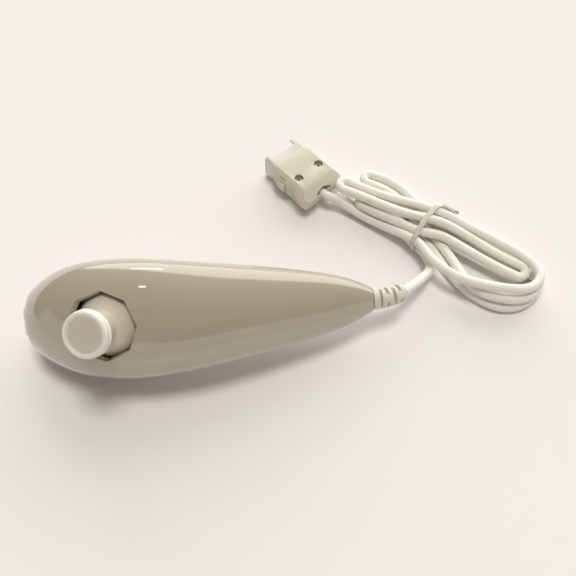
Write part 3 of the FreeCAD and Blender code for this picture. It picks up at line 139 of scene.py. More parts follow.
# %% Ends of the hank's loops
CORD = 3.4
HALF_STEP, CORNERS = 22.5, 6


def loop_end(s, first, last, reach):
    """Half a turn about the line s, from the side (q, z) called first to the one called last.

    Its points are centre + (side cos a + reach sin a) / cos 22.5, at 22.5, 67.5, 112.5 and 157.5
    degrees: as far out as two tangents of the bend cross. One more point on each side leads in
    straight, so that the bend stays round."""
    a = np.radians(np.linspace(-HALF_STEP, 180 + HALF_STEP, CORNERS))[:, None]
    first, last = np.array([s, *first]), np.array([s, *last])
    side = (first - last) / 2
    outwards = side * np.cos(a) + np.array([reach, 0, 0]) * np.sin(a)
    points = (first + last) / 2 + 1 / np.cos(np.radians(HALF_STEP)) * outwards
    points[[0, -1], 1:] = first[1:], last[1:]
    return points


# %% [markdown]
# The four turns are laid as the photograph shows them, in the hank's own frame: s along
# the hank to the right, q across it to the far side, z up. A turn goes from the tie round the
# left loop, back past the tie, round the right loop and home. A list is a run of points, and a
# tuple is a round end: its line s, its first and last side (q, z), and its reach.

# %% The four turns of the hank
TURNS = [
    [[(-3, -8.4, 1.75), (-8, -6.6, 1.75), (-14, -5.6, 1.75), (-20, -5.2, 1.75), (-26, -5.0, 1.8)],
     (-29.8, (-4.9, 1.8), (0.6, 2.4), -3.2),
     [(-25, 1.2, 2.6), (-20, 1.5, 3.1), (-14, 1.6, 4.1), (-8, 1.5, 5.3), (-3, 1.5, 5.1),
      (3, 1.7, 4.8), (8, 2.3, 3.2), (14, 2.7, 1.9), (22, 2.7, 1.75), (30, 2.8, 1.75),
      (35.5, 3.0, 1.9), (39.8, 2.3, 3.9), (42.8, -0.3, 5.1), (43.2, -4.4, 5.1), (41.0, -9.0, 5.1),
      (36.3, -12.5, 5.1), (30, -14.7, 5.2), (24, -15.0, 5.2), (18, -12.0, 5.0), (13, -8.4, 4.4),
      (8, -4.9, 3.1), (3, -2.9, 2.0)]],
    [[(-3, -1.6, 1.75), (-7, 0.6, 1.75), (-11, 3.4, 1.75), (-15.5, 5.6, 2.0), (-20, 5.9, 2.9),
      (-25, 5.0, 4.1)],
     (-30.0, (4.2, 4.6), (8.4, 4.6), -2.1),
     [(-26, 9.4, 4.3), (-21, 10.2, 3.4), (-16, 9.8, 2.5), (-10, 8.4, 1.9), (-5, 6.2, 1.75),
      (0, 5.2, 1.75), (5, 5.4, 1.75), (12, 6.1, 1.75), (22, 6.2, 1.75), (32, 6.3, 1.75),
      (37.5, 6.1, 1.75), (41.9, 4.0, 1.75), (43.7, -0.6, 1.75), (43.2, -5.6, 1.75),
      (40.6, -10.8, 1.75), (36.5, -14.2, 1.75), (31, -15.8, 1.75), (24.5, -15.6, 1.75),
      (18, -13.8, 1.75), (12.5, -11.1, 1.75), (8, -8.9, 1.75), (4, -6.9, 1.75), (0, -5.6, 1.75)]],
    [[(-4, -4.7, 1.75), (-9, -2.8, 1.75), (-15, -2.0, 1.75), (-20, -1.9, 2.2)],
     (-25.6, (-2.7, 4.2), (-6.8, 5.7), -2.2),
     [(-20, -6.7, 5.8), (-13, -6.2, 6.1), (-7, -5.9, 6.3), (-2, -5.9, 6.3), (1.5, -4.2, 6.2),
      (5, -2.4, 5.9), (10, -2.2, 5.6), (18, -2.4, 5.1), (27, -2.5, 4.8)],
     (34.8, (-2.2, 4.9), (2.1, 5.7), 2.2),
     [(28, 2.0, 5.3), (20, 2.4, 5.3), (13, 2.6, 5.9), (6, 2.0, 7.4), (1, 0.4, 8.2)]],
    [[(-4, -1.1, 8.5), (-9, -2.6, 8.6), (-15, -3.9, 8.7), (-22, -4.8, 8.9), (-29, -5.6, 8.9)],
     (-34.8, (-6.1, 8.4), (-1.9, 8.2), -2.2),
     [(-29, -1.7, 8.5), (-22, -0.8, 8.6), (-15, 0.9, 8.6), (-8, 3.0, 8.5), (-3, 3.9, 8.3),
      (3, 5.2, 7.6), (9, 5.9, 6.8), (16, 6.3, 6.2), (24, 6.4, 6.2), (32, 5.7, 6.9),
      (38, 3.9, 7.8), (41.7, 1.0, 8.2), (42.4, -3.0, 8.3), (39.9, -7.6, 8.6), (34.5, -10.8, 8.7),
      (27.5, -13.8, 8.7), (20, -16.0, 8.6), (13.5, -16.0, 8.3), (7.5, -14.2, 7.4),
      (3, -11.4, 6.0), (-1, -9.4, 5.3)]],
]
hank = []
for turn_rows in TURNS:
    for run in turn_rows:
        hank.append(np.array(run, float) if isinstance(run, list) else loop_end(*run))
    print("turn of the hank with", sum(len(run) for run in hank), "control points so far")


# %% [markdown]
# The free stretches are few points: the cord leaves the sleeve, bends down to the table, goes
# under the near side of the hank, and on the other side runs from the top layer to the plug. The
# tie holds the hank's waist a little off the table.

# %% One curve from the sleeve to the plug
WAIST_LIFT, WAIST_SPREAD = 0.7, 5.0
out_of_sleeve = [(61.482, 5.132, 12.724), (63.464, 6.174, 12.200)]
to_hank = [(7.2, -27.4, 10.0), (8.0, -22.0, 7.0), (8.4, -17.2, 4.2), (7.2, -13.2, 2.1),
           (3.0, -10.0, 1.75)]
to_plug = [(-6, -8.8, 4.9), (-11, -8.6, 3.8), (-17, -8.6, 2.9), (-24, -8.7, 2.6),
           (-31, -8.5, 3.4), (-35.8, -9.0, 4.9)]
into_plug = placed([(26.0, 0, 5.7), (22.0, 0, 5.7)], PLUG_TURN, PLUG_ORIGIN)
laid = np.concatenate([np.array(to_hank)] + hank + [np.array(to_plug)])
laid[:, 2] += WAIST_LIFT * np.exp(-(laid[:, 0] / WAIST_SPREAD)**2)
route = np.concatenate([out_of_sleeve, in_hank(laid), into_plug]) * MM


def cord_curve(name, points):
    """One open NURBS spline of order 3, through its first and last point."""
    data = bpy.data.curves.new(name, "CURVE")
    data.dimensions = "3D"
    spline = data.splines.new("NURBS")
    spline.points.add(len(points) - 1)
    spline.points.foreach_set("co", np.c_[points, np.ones(len(points))].ravel())
    spline.order_u = 3
    spline.use_endpoint_u = True
    data.resolution_u = 10
    return in_scene(name, data)


def curve_points(piece):
    """The line itself, as Blender draws a curve with no bevel."""
    bpy.context.view_layer.update()
    mesh = bpy.data.meshes.new_from_object(piece)
    points = np.empty(len(mesh.vertices) * 3)
    mesh.vertices.foreach_get("co", points)
    return points.reshape(-1, 3)


def least_gap(points, skip):
    """Least distance between places of the line that are more than skip apart along it."""
    run = np.r_[0, np.cumsum(np.linalg.norm(np.diff(points, axis=0), axis=1))]
    apart = np.linalg.norm(points[:, None] - points[None], axis=2)
    apart[np.abs(run[:, None] - run[None]) < skip] = np.inf
    return run[-1], apart.min()


# Places of the cord that are less than this far apart along it are parts of one bend.
ONE_BEND = 14.0
cord = cord_curve("cord", route)
line = curve_points(cord)
length, gap = least_gap(line, ONE_BEND * MM)
cord.data.bevel_depth = CORD / 2 * MM
cord.data.bevel_resolution = 6
cord.data.use_fill_caps = True
print("cord", round(length, 4), "m, gap to itself", round(gap / MM - CORD, 2), "mm,",
      "lowest", round(line[:, 2].min() / MM, 2), "highest", round(line[:, 2].max() / MM, 2))


# %% [markdown]
# ## Meshes from arrays
# The moulded pieces are surfaces on a grid: one array of points, rows by columns. One helper
# puts such a grid into a mesh. Rows that shrink to a point are merged into a pole.

# %% Helpers that turn arrays into pieces
MERGE = 1e-6


def grid_faces(rows, columns, closed_rows=False, closed_columns=False, capped=False):
    """Four-cornered faces of a grid, with the last row or column joined to the first.

    Capped closes the first and the last row with one many-cornered face each."""
    r = np.arange(rows if closed_rows else rows - 1)
    c = np.arange(columns if closed_columns else columns - 1)
    r, c = [a.ravel() for a in np.meshgrid(r, c, indexing="ij")]
    r1, c1 = (r + 1) % rows, (c + 1) % columns
    corners = [r * columns + c, r * columns + c1, r1 * columns + c1, r1 * columns + c]
    faces = np.stack(corners, axis=1).tolist()
    if capped:
        faces += [list(range(columns)), list(range((rows - 1) * columns, rows * columns))]
    return faces


def piece_from(name, points, faces, crease=40.0):
    """A mesh object from points in millimetres, cleaned, and smooth between its creases."""
    mesh = bpy.data.meshes.new(name)
    mesh.from_pydata((np.asarray(points).reshape(-1, 3) * MM).tolist(), [], faces)
    piece = in_scene(name, mesh)
    tidy_mesh(piece, crease)
    return piece


def tidy_mesh(piece, crease):
    """Merges doubles, turns all faces outwards and marks the edges sharper than the crease."""
    work = bmesh.new()
    work.from_mesh(piece.data)
    bmesh.ops.remove_doubles(work, verts=work.verts, dist=MERGE)
    bmesh.ops.dissolve_degenerate(work, edges=work.edges, dist=MERGE)
    bmesh.ops.recalc_face_normals(work, faces=work.faces)
    work.to_mesh(piece.data)
    work.free()
    piece.data.shade_smooth()
    piece.data.set_sharp_from_angle(angle=np.radians(crease))
    piece.data.update()


def finished(piece, crease=35.0):
    """Puts what the modifiers make into the mesh itself and takes the modifiers off."""
    bpy.context.view_layer.update()
    made = piece.evaluated_get(bpy.context.evaluated_depsgraph_get())
    mesh = bpy.data.meshes.new_from_object(made)
    piece.modifiers.clear()
    piece.data = mesh
    mesh.name = piece.name
    mesh.shade_smooth()
    mesh.set_sharp_from_angle(angle=np.radians(crease))
    return piece


def drilled(piece, tools):
    """Cuts the tools out of the piece one after another, and throws the tools away."""
    for tool in tools:
        change = piece.modifiers.new(tool.name, "BOOLEAN")
        change.operation, change.object, change.solver = "DIFFERENCE", tool, "EXACT"
    finished(piece)
    for tool in tools:
        bpy.data.objects.remove(tool)


def triangles(piece):
    """How many triangles the piece's faces come to."""
    return sum(len(p.vertices) - 2 for p in piece.data.polygons)


# %% [markdown]
# ## Housing
# The housing is one smooth skin from the nose to the tail. Across, it is four rounded quarters
# that meet at the widest line. Along, the width, top, belly and seam follow cubic lines through
# ten stations. The moulder splits this skin just under the widest line into two shells.

# %% The housing's outline along its length
STATIONS = np.array([0.0, 4.0, 12.0, 24.0, 40.0, 58.0, 76.0, 92.0, 104.0, 112.0])
OUTLINE = {
    "width": [8.6, 12.2, 16.4, 18.9, 18.8, 16.6, 13.9, 10.9, 7.6, 3.8],
    "top": [1.6, 5.6, 10.3, 14.6, 17.1, 16.6, 12.9, 8.4, 4.5, 1.3],
    "belly": [-16.4, -17.6, -17.2, -14.4, -10.9, -9.3, -8.8, -8.0, -6.8, -5.4],
    "seam": [-6.2, -5.8, -2.4, 2.0, 5.3, 5.4, 3.0, 0.7, -0.8, -2.1],
}


def cubic_line(places, values):
    """A cubic spline: bends are equal on both sides of a station, and so is their change at the
    second and the last but one.

    Between two stations h apart, t from the one and u from the other, the height is
    (b0 u^3 + b1 t^3) / 6h + (v0 / h - b0 h / 6) u + (v1 / h - b1 h / 6) t."""
    h, d = np.diff(places), np.diff(values) / np.diff(places)
    n = len(places)
    system, right = np.zeros((n, n)), np.zeros(n)
    for i in range(1, n - 1):
        system[i, i - 1:i + 2] = h[i - 1], 2 * (h[i - 1] + h[i]), h[i]
        right[i] = 6 * (d[i] - d[i - 1])
    system[0, :3] = h[1], -h[0] - h[1], h[0]
    system[-1, -3:] = h[-1], -h[-1] - h[-2], h[-2]
    bends = np.linalg.solve(system, right)

    def height(x):
        i = np.clip(np.searchsorted(places, x) - 1, 0, n - 2)
        t, u = x - places[i], places[i + 1] - x
        ends = (bends[i] * u**3 + bends[i + 1] * t**3) / (6 * h[i])
        middle = (values[i] / h[i] - bends[i] * h[i] / 6) * u
        return ends + middle + (values[i + 1] / h[i] - bends[i + 1] * h[i] / 6) * t
    return height


outline = {name: cubic_line(STATIONS, np.array(values)) for name, values in OUTLINE.items()}
print("housing at x = 50:",
      {name: round(float(f(np.array([50.0]))[0]), 2) for name, f in outline.items()})


# %% [markdown]
# Each quarter of a section is a cubic Bezier curve with its two handles at 0.6 of the way, a
# little fuller than an ellipse. The turn parameter runs from the belly (-1) over the right side
# (0), the top (1) and the left side (2) back to the belly (3).

# %% Sections across the housing
ROUNDNESS, SEAM_DROP, SAMPLES = 0.60, 0.4, 2001


def quarter_side(t):
    """Share of the half width: (1-t)^3 + 3 t (1-t)^2 + 3 r t^2 (1-t), with r the roundness."""
    return (1 - t)**3 + 3 * t * (1 - t)**2 + 3 * ROUNDNESS * t**2 * (1 - t)


def quarter_rise(t):
    """Share of the height over the widest line: 3 r t (1-t)^2 + 3 t^2 (1-t) + t^3."""
    return 3 * ROUNDNESS * t * (1 - t)**2 + 3 * t**2 * (1 - t) + t**3


def skin(x, around):
    """Points (x, +-w side(t), seam + (end - seam) rise(t)) of the skin, at places x along it and
    turn parameters around it, where end is the top or the belly."""
    w, top, belly, seam = [outline[name](x) for name in ("width", "top", "belly", "seam")]
    t = np.where(around <= 1, np.abs(around), np.abs(around - 2))
    side = np.where(around <= 1, 1.0, -1.0)
    end = np.where((around > 0) & (around < 2), top, belly)
    return np.stack([x, side * w * quarter_side(t), seam + (end - seam) * quarter_rise(t)], axis=-1)


def parting(x, below):
    """Turn parameter where the skin lies a given height under its widest line."""
    t = np.linspace(0, 1, SAMPLES)
    share = below / (outline["seam"](x) - outline["belly"](x))
    return np.interp(share, quarter_rise(t), t)


print("the middle of a quarter is", round(quarter_side(0.5), 3), "of the way out; an ellipse's,",
      round(np.sqrt(0.5), 3))


# %% [markdown]
# A shell is half of that skin. Its end rows are drawn in to a point on the parting line, round a
# small edge, so that the flat nose and the tail are closed. Solidify then gives the wall.

# %% The two shells, with their wall
LENGTH, WALL, SEAM_GAP = STATIONS[-1], 2.0, 0.12
NOSE_EDGE, TAIL_EDGE = 1.1, 0.5
FLAT_NOSE_ROWS, EDGE_ROWS, LENGTH_ROWS, FLAT_TAIL_ROWS, COLUMNS = 8, 6, 200, 5, 190


def shell_grid(upper):
    """Rows from nose to tail: a flat end, a rounded edge, the length, and the same at the tail."""
    edge = np.radians(np.linspace(0, 90, EDGE_ROWS + 2)[1:-1])
    x = np.concatenate([np.zeros(FLAT_NOSE_ROWS), NOSE_EDGE * (1 - np.cos(edge)),
                        np.linspace(NOSE_EDGE, LENGTH - TAIL_EDGE, LENGTH_ROWS),
                        LENGTH - TAIL_EDGE * (1 - np.cos(edge[::-1])),
                        np.full(FLAT_TAIL_ROWS, LENGTH)])
    nose, tail = NOSE_EDGE / OUTLINE["width"][0], TAIL_EDGE / OUTLINE["width"][-1]
    draw = np.concatenate([np.linspace(0, 1 - nose, FLAT_NOSE_ROWS), 1 - nose * (1 - np.sin(edge)),
                           np.ones(LENGTH_ROWS), 1 - tail * (1 - np.sin(edge[::-1])),
                           np.linspace(1 - tail, 0, FLAT_TAIL_ROWS)])
    t = parting(x, SEAM_DROP + (-SEAM_GAP / 2 if upper else SEAM_GAP / 2))[:, None]
    s = np.linspace(0, 1, COLUMNS)[None]
    around = -t + (2 + 2 * t) * s if upper else 2 + t + (2 - 2 * t) * s
    around = np.where(around > 3, around - 4, around)
    points = skin(np.broadcast_to(x[:, None], around.shape), around)
    centre = np.stack([x, 0 * x, outline["seam"](x) - SEAM_DROP], axis=-1)[:, None]
    return centre + (points - centre) * draw[:, None, None]


def shell(name, upper):
    """One half of the skin, with its wall on the inside."""
    points = shell_grid(upper)
    piece = piece_from(name, in_body(points), grid_faces(*points.shape[:2]))
    wall = piece.modifiers.new("wall", "SOLIDIFY")
    wall.thickness, wall.offset = WALL * MM, -1.0
    return finished(piece, 40)


upper_shell = shell("housing_upper", True)
lower_shell = shell("housing_lower", False)
print("shells", triangles(upper_shell), triangles(lower_shell))


# %% [markdown]
# ## Gate and openings
# The stick stands in an octagonal hole with a bevelled rim, and the dome turns in a round relief
# behind it. The front has a small oval hole and a larger square one for the two buttons. Each is
# a tool, cut out of the shell as a moulding's core would.

# %% Tools for the openings
def prism_between(name, rings, place):
    """A closed prism through rings of corners, one above another."""
    rings = np.asarray(rings, float)
    faces = grid_faces(*rings.shape[:2], closed_columns=True, capped=True)
    return piece_from(name, place(rings.reshape(-1, 3)), faces)


def ring(radius, z, count=8):
    """Corners on a level circle, the first one on the x axis."""
    a = np.arange(count) * 2 * np.pi / count
    return np.stack([radius * np.cos(a), radius * np.sin(a), np.full(count, z)], axis=1)


def ball(name, radius, place, rows=32, columns=64):
    """A sphere radius (sin a cos b, sin a sin b, cos a), its poles merged."""
    a = np.linspace(0, np.pi, rows)[:, None]
    b = np.arange(columns)[None] * 2 * np.pi / columns
    points = radius * np.stack([np.sin(a) * np.cos(b), np.sin(a) * np.sin(b),
                                np.cos(a) + 0 * b], axis=-1)
    faces = grid_faces(rows, columns, closed_columns=True)
    return piece_from(name, place(points.reshape(-1, 3)), faces)


def oval_ring(x, half_y, half_z, z, corner, count=12):
    """A rounded rectangle across the nose: quarter circles about its four corner centres."""
    a = np.radians(np.concatenate([np.linspace(q, q + 90, count) for q in (0, 90, 180, 270)]))
    sy, sz = np.repeat([1, -1, -1, 1], count), np.repeat([1, 1, -1, -1], count)
    return np.stack([np.full(len(a), x), sy * (half_y - corner) + corner * np.cos(a),
                     z + sz * (half_z - corner) + corner * np.sin(a)], axis=1)


def nose_hole(name, depth, **opening):
    """A prism from before the nose to a depth behind it."""
    return prism_between(name, [oval_ring(x, **opening) for x in (-5, depth)], in_body)


GATE, GATE_FLOOR, GATE_TOP, BEVEL, RELIEF = 10.4, 8.4, 15.0, 0.45, 12.55
gate = prism_between("gate", [ring(GATE, 0.0), ring(GATE, GATE_FLOOR),
                              ring(GATE + (GATE_TOP - GATE_FLOOR) * BEVEL, GATE_TOP)], in_stick)
relief = ball("relief", RELIEF, in_stick)
button_hole = nose_hole("button_hole", 4.8, half_y=5.3, half_z=2.8, z=-3.0, corner=2.6)
trigger_hole = nose_hole("trigger_hole", 6.8, half_y=6.9, half_z=3.95, z=-11.25, corner=0.3)
drilled(upper_shell, [relief, gate, button_hole])
drilled(lower_shell, [trigger_hole])
print("upper shell with its gate", triangles(upper_shell), "lower shell", triangles(lower_shell))


# %% [markdown]
# ## Thumb stick
# Cap, neck and dome are one moulding, so one outline turned about the stick's axis makes them. It
# runs from the dome's skirt over neck, collar and rim to the dished face, and back on the inside.

# %% The stick's cap and dome
def eased(points, steps=6):
    """A quadratic B-spline (1-t)^2 a + 2 t (1-t) c + t^2 b, with c a corner, and a and b the
    middles of the runs to its neighbours."""
    p = np.asarray(points, float)
    ends = np.vstack([p[:1], (p[1:-2] + p[2:-1]) / 2, p[-1:]])
    t = np.linspace(0, 1, steps + 1)[:-1, None]
    rows = [(1 - t)**2 * a + 2 * t * (1 - t) * c + t**2 * b
            for a, c, b in zip(ends, p[1:-1], ends[1:])]
    return np.vstack(rows + [p[-1:]])


def arc(radius, first, last, count):
    """Points radius (sin a, cos a) on a circle about the pivot, a from the stick's axis."""
    a = np.radians(np.linspace(first, last, count))
    return np.stack([radius * np.sin(a), radius * np.cos(a)], axis=1)


def turned(name, outline_points, place, steps=128):
    """An outline of (radius, height) carried round: (radius cos a, radius sin a, height)."""
    p = np.asarray(outline_points, float)
    a = np.arange(steps) * 2 * np.pi / steps
    points = np.stack([p[:, :1] * np.cos(a), p[:, :1] * np.sin(a),
                       np.repeat(p[:, 1:], steps, 1)], axis=-1)
    faces = grid_faces(len(p), steps, closed_columns=True)
    return piece_from(name, place(points.reshape(-1, 3)), faces, 50)


DOME, DOME_WALL, SKIRT, COLLAR, ARC_POINTS = 12.15, 1.0, 68.0, 27.6, 30
cap_line = eased([(5.62, 10.78), (5.1, 11.3), (4.9, 12.2), (4.9, 14.5), (4.9, 16.6), (5.2, 17.6),
                  (6.3, 17.95), (7.15, 17.95), (7.3, 18.35), (7.18, 18.85), (6.85, 19.15),
                  (6.92, 19.5), (7.15, 19.7), (7.18, 20.3), (6.98, 20.95), (6.4, 21.18),
                  (5.85, 21.05), (5.5, 20.7), (5.0, 20.65), (3.0, 20.6), (0.0, 20.55)])
outside = np.vstack([arc(DOME, SKIRT, COLLAR, ARC_POINTS), cap_line])
inside = np.vstack([arc(DOME - DOME_WALL, 0, SKIRT, ARC_POINTS), arc(DOME, SKIRT, SKIRT, 1)])
stick_cap = turned("stick_cap_moulding", np.vstack([outside, inside]), in_stick)
print("stick cap", triangles(stick_cap))


# %% [markdown]
# ## Twist tie
# The tie is a paper strip with a wire down its middle. Its section is a flat lens with a ridge.
# It is carried round the bundle, and its two ends stand off along the hank, side by side.

# %% The tie round the bundle
TIE_WIDTH, TIE_THICK, EDGE_SHARE, RIDGE_SHARE, RIDGE_WIDTH = 1.9, 0.6, 0.22, 0.28, 0.28


def strip_frames(path, up, closed):
    """Side and top of the strip at each point of its path."""
    ahead = np.roll(path, -1, 0) - np.roll(path, 1, 0)
    if not closed:
        ahead[0], ahead[-1] = path[1] - path[0], path[-1] - path[-2]
    ahead /= np.linalg.norm(ahead, axis=1)[:, None]
    side = np.cross(up, ahead)
    side /= np.linalg.norm(side, axis=1)[:, None]
    return side, np.cross(ahead, side)


def strip(name, path, up, width, closed):
    """A flat strip over a wire: half its thickness is edge + ridge exp(-(u / ridge width)^2)."""
    u = np.linspace(-1, 1, 13)
    rise = TIE_THICK * (EDGE_SHARE + RIDGE_SHARE * np.exp(-(u / RIDGE_WIDTH)**2))
    across = np.r_[u * width / 2, u[::-1] * width / 2]
    height = np.r_[rise, -rise[::-1]]
    side, top = strip_frames(path, up, closed)
    points = (path[:, None] + side[:, None] * across[None, :, None]
              + top[:, None] * height[None, :, None])
    faces = grid_faces(*points.shape[:2], closed_rows=closed, closed_columns=True,
                       capped=not closed)
    return piece_from(name, in_hank(points.reshape(-1, 3)), faces)


def closed_line(corners, steps=8):
    """A closed quadratic B-spline: through the middle of every side of the corners' polygon."""
    first, last = (corners + np.roll(corners, 1, 0)) / 2, (corners + np.roll(corners, -1, 0)) / 2
    t = np.arange(steps)[None, :, None] / steps
    points = (1 - t)**2 * first[:, None] + 2 * t * (1 - t) * corners[:, None] + t**2 * last[:, None]
    return points.reshape(-1, 3)


# The strip faces away from a line along the middle of the hank.
HANK_MIDDLE = [0, -1.8, 5.0]
round_hank = np.array([(-1.4, 5.6, 10.6), (-2.2, 1.6, 10.9), (-2.4, -3.0, 10.6),
                       (-2.5, -8.0, 9.0), (-2.3, -11.2, 7.0), (-1.9, -11.6, 4.2),
                       (-1.3, -10.9, 1.4), (-0.6, -8.0, 0.35), (0.2, -2.0, 0.35),
                       (0.8, 4.4, 0.35), (1.0, 7.4, 1.6), (0.9, 7.7, 4.6), (0.4, 7.2, 8.4)])
path = closed_line(round_hank)
tie = strip("tie_band", path, (path - HANK_MIDDLE) * [0, 1, 1], TIE_WIDTH, True)


# %% [markdown]
# Both ends start at the far top corner of the band, side by side. Each leads to a tip of its own:
# its offset from the straight line to the tip makes nearly half a turn and shrinks to nothing.

# %% The ends of the tie
TIE_CORNER, END_WIDTH, END_TURN, END_OFFSET, END_LEAN = (0.0, 6.8, 9.9), 0.8, 0.9, 0.45, 0.5


def tie_end(name, side, tip):
    """The middle line of one end of the tie, start + t (tip - start) + offset(t), and its strip.

    The side is 1 or -1."""
    t = np.linspace(0, 1, 40)[:, None]
    start = np.array(TIE_CORNER)
    a = np.pi * (END_TURN * t + (0 if side > 0 else 1))
    offset = np.concatenate([0 * a, np.cos(a), np.sin(a)], axis=1) * END_OFFSET * (1 - t)
    facing = np.concatenate([0 * a, END_LEAN * side * (1 - t), 0 * a + 1.0], axis=1)
    middle = start + t * (np.array(tip) - start) + offset
    return middle, strip(name, middle, facing, END_WIDTH * TIE_WIDTH, False)


end_lines, tie_ends = zip(tie_end("tie_end_1", 1, (5.6, 8.3, 8.2)),
                          tie_end("tie_end_2", -1, (6.1, 6.7, 8.0)))
tie_ends = list(tie_ends)
print("tie", triangles(tie), [triangles(p) for p in tie_ends])


# %% [markdown]
# The wire in each end of the tie was cut with a blunt edge, and stands out of the paper by half a
# millimetre. It is a small dark rod.

# %% Wires of the tie
WIRE_RADIUS, WIRE_OUT, WIRE_SUNK = 0.32, 0.5, 1.0


def wire(name, line, count=16):
    """A short round rod that leaves the strip along its last stretch."""
    ahead = line[-1] - line[-2]
    ahead = ahead / np.linalg.norm(ahead)
    side = np.cross(ahead, (0, 0, 1))
    side = side / np.linalg.norm(side)
    up = np.cross(side, ahead)
    a = np.arange(count)[:, None] * 2 * np.pi / count
    rim = line[-1] + WIRE_RADIUS * (side * np.cos(a) + up * np.sin(a))
    return prism_between(name, [rim - WIRE_SUNK * ahead, rim + WIRE_OUT * ahead], in_hank)


tie_wires = [wire("tie_wire_%d" % (k + 1), line) for k, line in enumerate(end_lines)]
print("wires of the tie", [triangles(p) for p in tie_wires])


# %% [markdown]
# ## Finishes
# Every finish reads Object coordinates, which do not move with the camera. One helper builds a
# moulded plastic: a base colour that varies a little, and a fine grain in gloss and surface.

# %% Colours and a moulded plastic
def linear(r, g, b):
    """A screen colour from 0 to 255 as the linear colour that a shader takes."""
    c = np.array([r, g, b]) / 255
    return (*np.where(c <= 0.04045, c / 12.92, ((c + 0.055) / 1.055)**2.4), 1.0)


def shade(colour, share):
    """A linear colour made darker or lighter by a share."""
    return (*[min(c * share, 1.0) for c in colour[:3]], 1.0)


def noise(tree, coordinates, size_mm, detail=3.0):
    """Noise with patches of about the given size."""
    node = tree.nodes.new("ShaderNodeTexNoise")
    node.inputs["Scale"].default_value = 1 / (size_mm * MM)
    node.inputs["Detail"].default_value = detail
    tree.links.new(coordinates, node.inputs["Vector"])
    return node.outputs["Fac"]


NOISE_LOW, NOISE_HIGH = 0.3, 0.7


def ranged(tree, value, low, high):
    """A noise value, mostly between NOISE_LOW and NOISE_HIGH, spread over a wanted range."""
    node = tree.nodes.new("ShaderNodeMapRange")
    node.inputs["From Min"].default_value = NOISE_LOW
    node.inputs["From Max"].default_value = NOISE_HIGH
    node.inputs["To Min"].default_value, node.inputs["To Max"].default_value = low, high
    tree.links.new(value, node.inputs["Value"])
    return node.outputs["Result"]


def mixed(tree, factor, first, second):
    """The first colour where the factor is 0, the second where it is 1."""
    node = tree.nodes.new("ShaderNodeMix")
    node.data_type = "RGBA"
    for socket, colour in ((node.inputs[6], first), (node.inputs[7], second)):
        if isinstance(colour, tuple):
            socket.default_value = colour
        else:
            tree.links.new(colour, socket)
    tree.links.new(factor, node.inputs[0])
    return node.outputs[2]


GLOSS_LOW, GLOSS_HIGH, GRAIN_TINT, GRAIN_DEPTH = 0.85, 1.2, 0.25, 0.1
COAT_ROUGHNESS, COAT_IOR, GLOW_DEPTH, GLOW_RADIUS = 0.04, 1.7, 0.8, (1.0, 0.8, 0.6)


def finish(name, screen_colour, roughness, vary, patch_mm, grain_mm, grain, metallic=0.0,
           coat=0.0, ior=1.48, under_light=0.0):
    """A procedural finish: two sizes of colour change, gloss change and a fine bump."""
    colour = linear(*screen_colour)
    material = bpy.data.materials.new(name)
    material.use_nodes = True
    tree = material.node_tree
    shader = tree.nodes["Principled BSDF"]
    place = tree.nodes.new("ShaderNodeTexCoord").outputs["Object"]
    broad, fine = noise(tree, place, patch_mm), noise(tree, place, grain_mm, 2.0)
    base = mixed(tree, broad, shade(colour, 1 - vary), shade(colour, 1 + vary))
    base = mixed(tree, ranged(tree, fine, 0.0, GRAIN_TINT), base, shade(colour, 1 - 2 * vary))
    gloss = ranged(tree, broad, roughness * GLOSS_LOW, roughness * GLOSS_HIGH)
    bump = tree.nodes.new("ShaderNodeBump")
    bump.inputs["Strength"].default_value = grain
    bump.inputs["Distance"].default_value = GRAIN_DEPTH * MM
    tree.links.new(fine, bump.inputs["Height"])
    linked = {"Base Color": base, "Roughness": gloss, "Normal": bump.outputs["Normal"]}
    for socket, value in linked.items():
        tree.links.new(value, shader.inputs[socket])
    constants = {"Metallic": metallic, "IOR": ior, "Coat Weight": coat,
                 "Coat Roughness": COAT_ROUGHNESS, "Coat IOR": COAT_IOR}
    if under_light:
        constants.update({"Subsurface Weight": under_light, "Subsurface Radius": GLOW_RADIUS,
                          "Subsurface Scale": GLOW_DEPTH * MM})
    for socket, value in constants.items():
        shader.inputs[socket].default_value = value
    return material


# %% [markdown]
# The rim and the collar of the stick's cap are painted paler than its dished face and its dome:
# a painted highlight where they catch the light. Each vertex stores how much it belongs to them,
# and the finish reads that.

# %% A painted highlight on the stick's cap rim
# Where the painted highlight on the cap's rim and collar begins, and how wide its soft edge is.
RIM_RADIUS, RIM_HEIGHT, RIM_BLEND = 5.0, 16.8, 1.0


def painted_highlight_share(piece):
    """Stores on each vertex its share of the painted highlight on the rim and collar, from 0 to 1.

    The smooth step runs over the radius at the dished face and over the height at the neck."""
    points = np.empty(len(piece.data.vertices) * 3)
    piece.data.vertices.foreach_get("co", points)
    local = (points.reshape(-1, 3) / MM - in_stick([[0, 0, 0]])) @ BODY_TURN @ STICK_TURN
    radius, height = np.hypot(local[:, 0], local[:, 1]), local[:, 2]
    share = (np.clip((radius - RIM_RADIUS) / RIM_BLEND, 0, 1)
             * np.clip((height - RIM_HEIGHT) / RIM_BLEND, 0, 1))
    data = piece.data.attributes.new("rim", "FLOAT", "POINT")
    data.data.foreach_set("value", share * share * (3 - 2 * share))
    print("paler rim on", int((share > 0.5).sum()), "of", len(share), "vertices")


def with_painted_highlight(material, colour):
    """Mixes a painted highlight colour over a finish's own, by the attribute called rim."""
    tree = material.node_tree
    shader = tree.nodes["Principled BSDF"]
    before = shader.inputs["Base Color"].links[0].from_socket
    share = tree.nodes.new("ShaderNodeAttribute")
    share.attribute_name = "rim"
    tree.links.new(mixed(tree, share.outputs["Fac"], before, colour), shader.inputs["Base Color"])


# Marks where the cap's painted highlight goes.
painted_highlight_share(stick_cap)


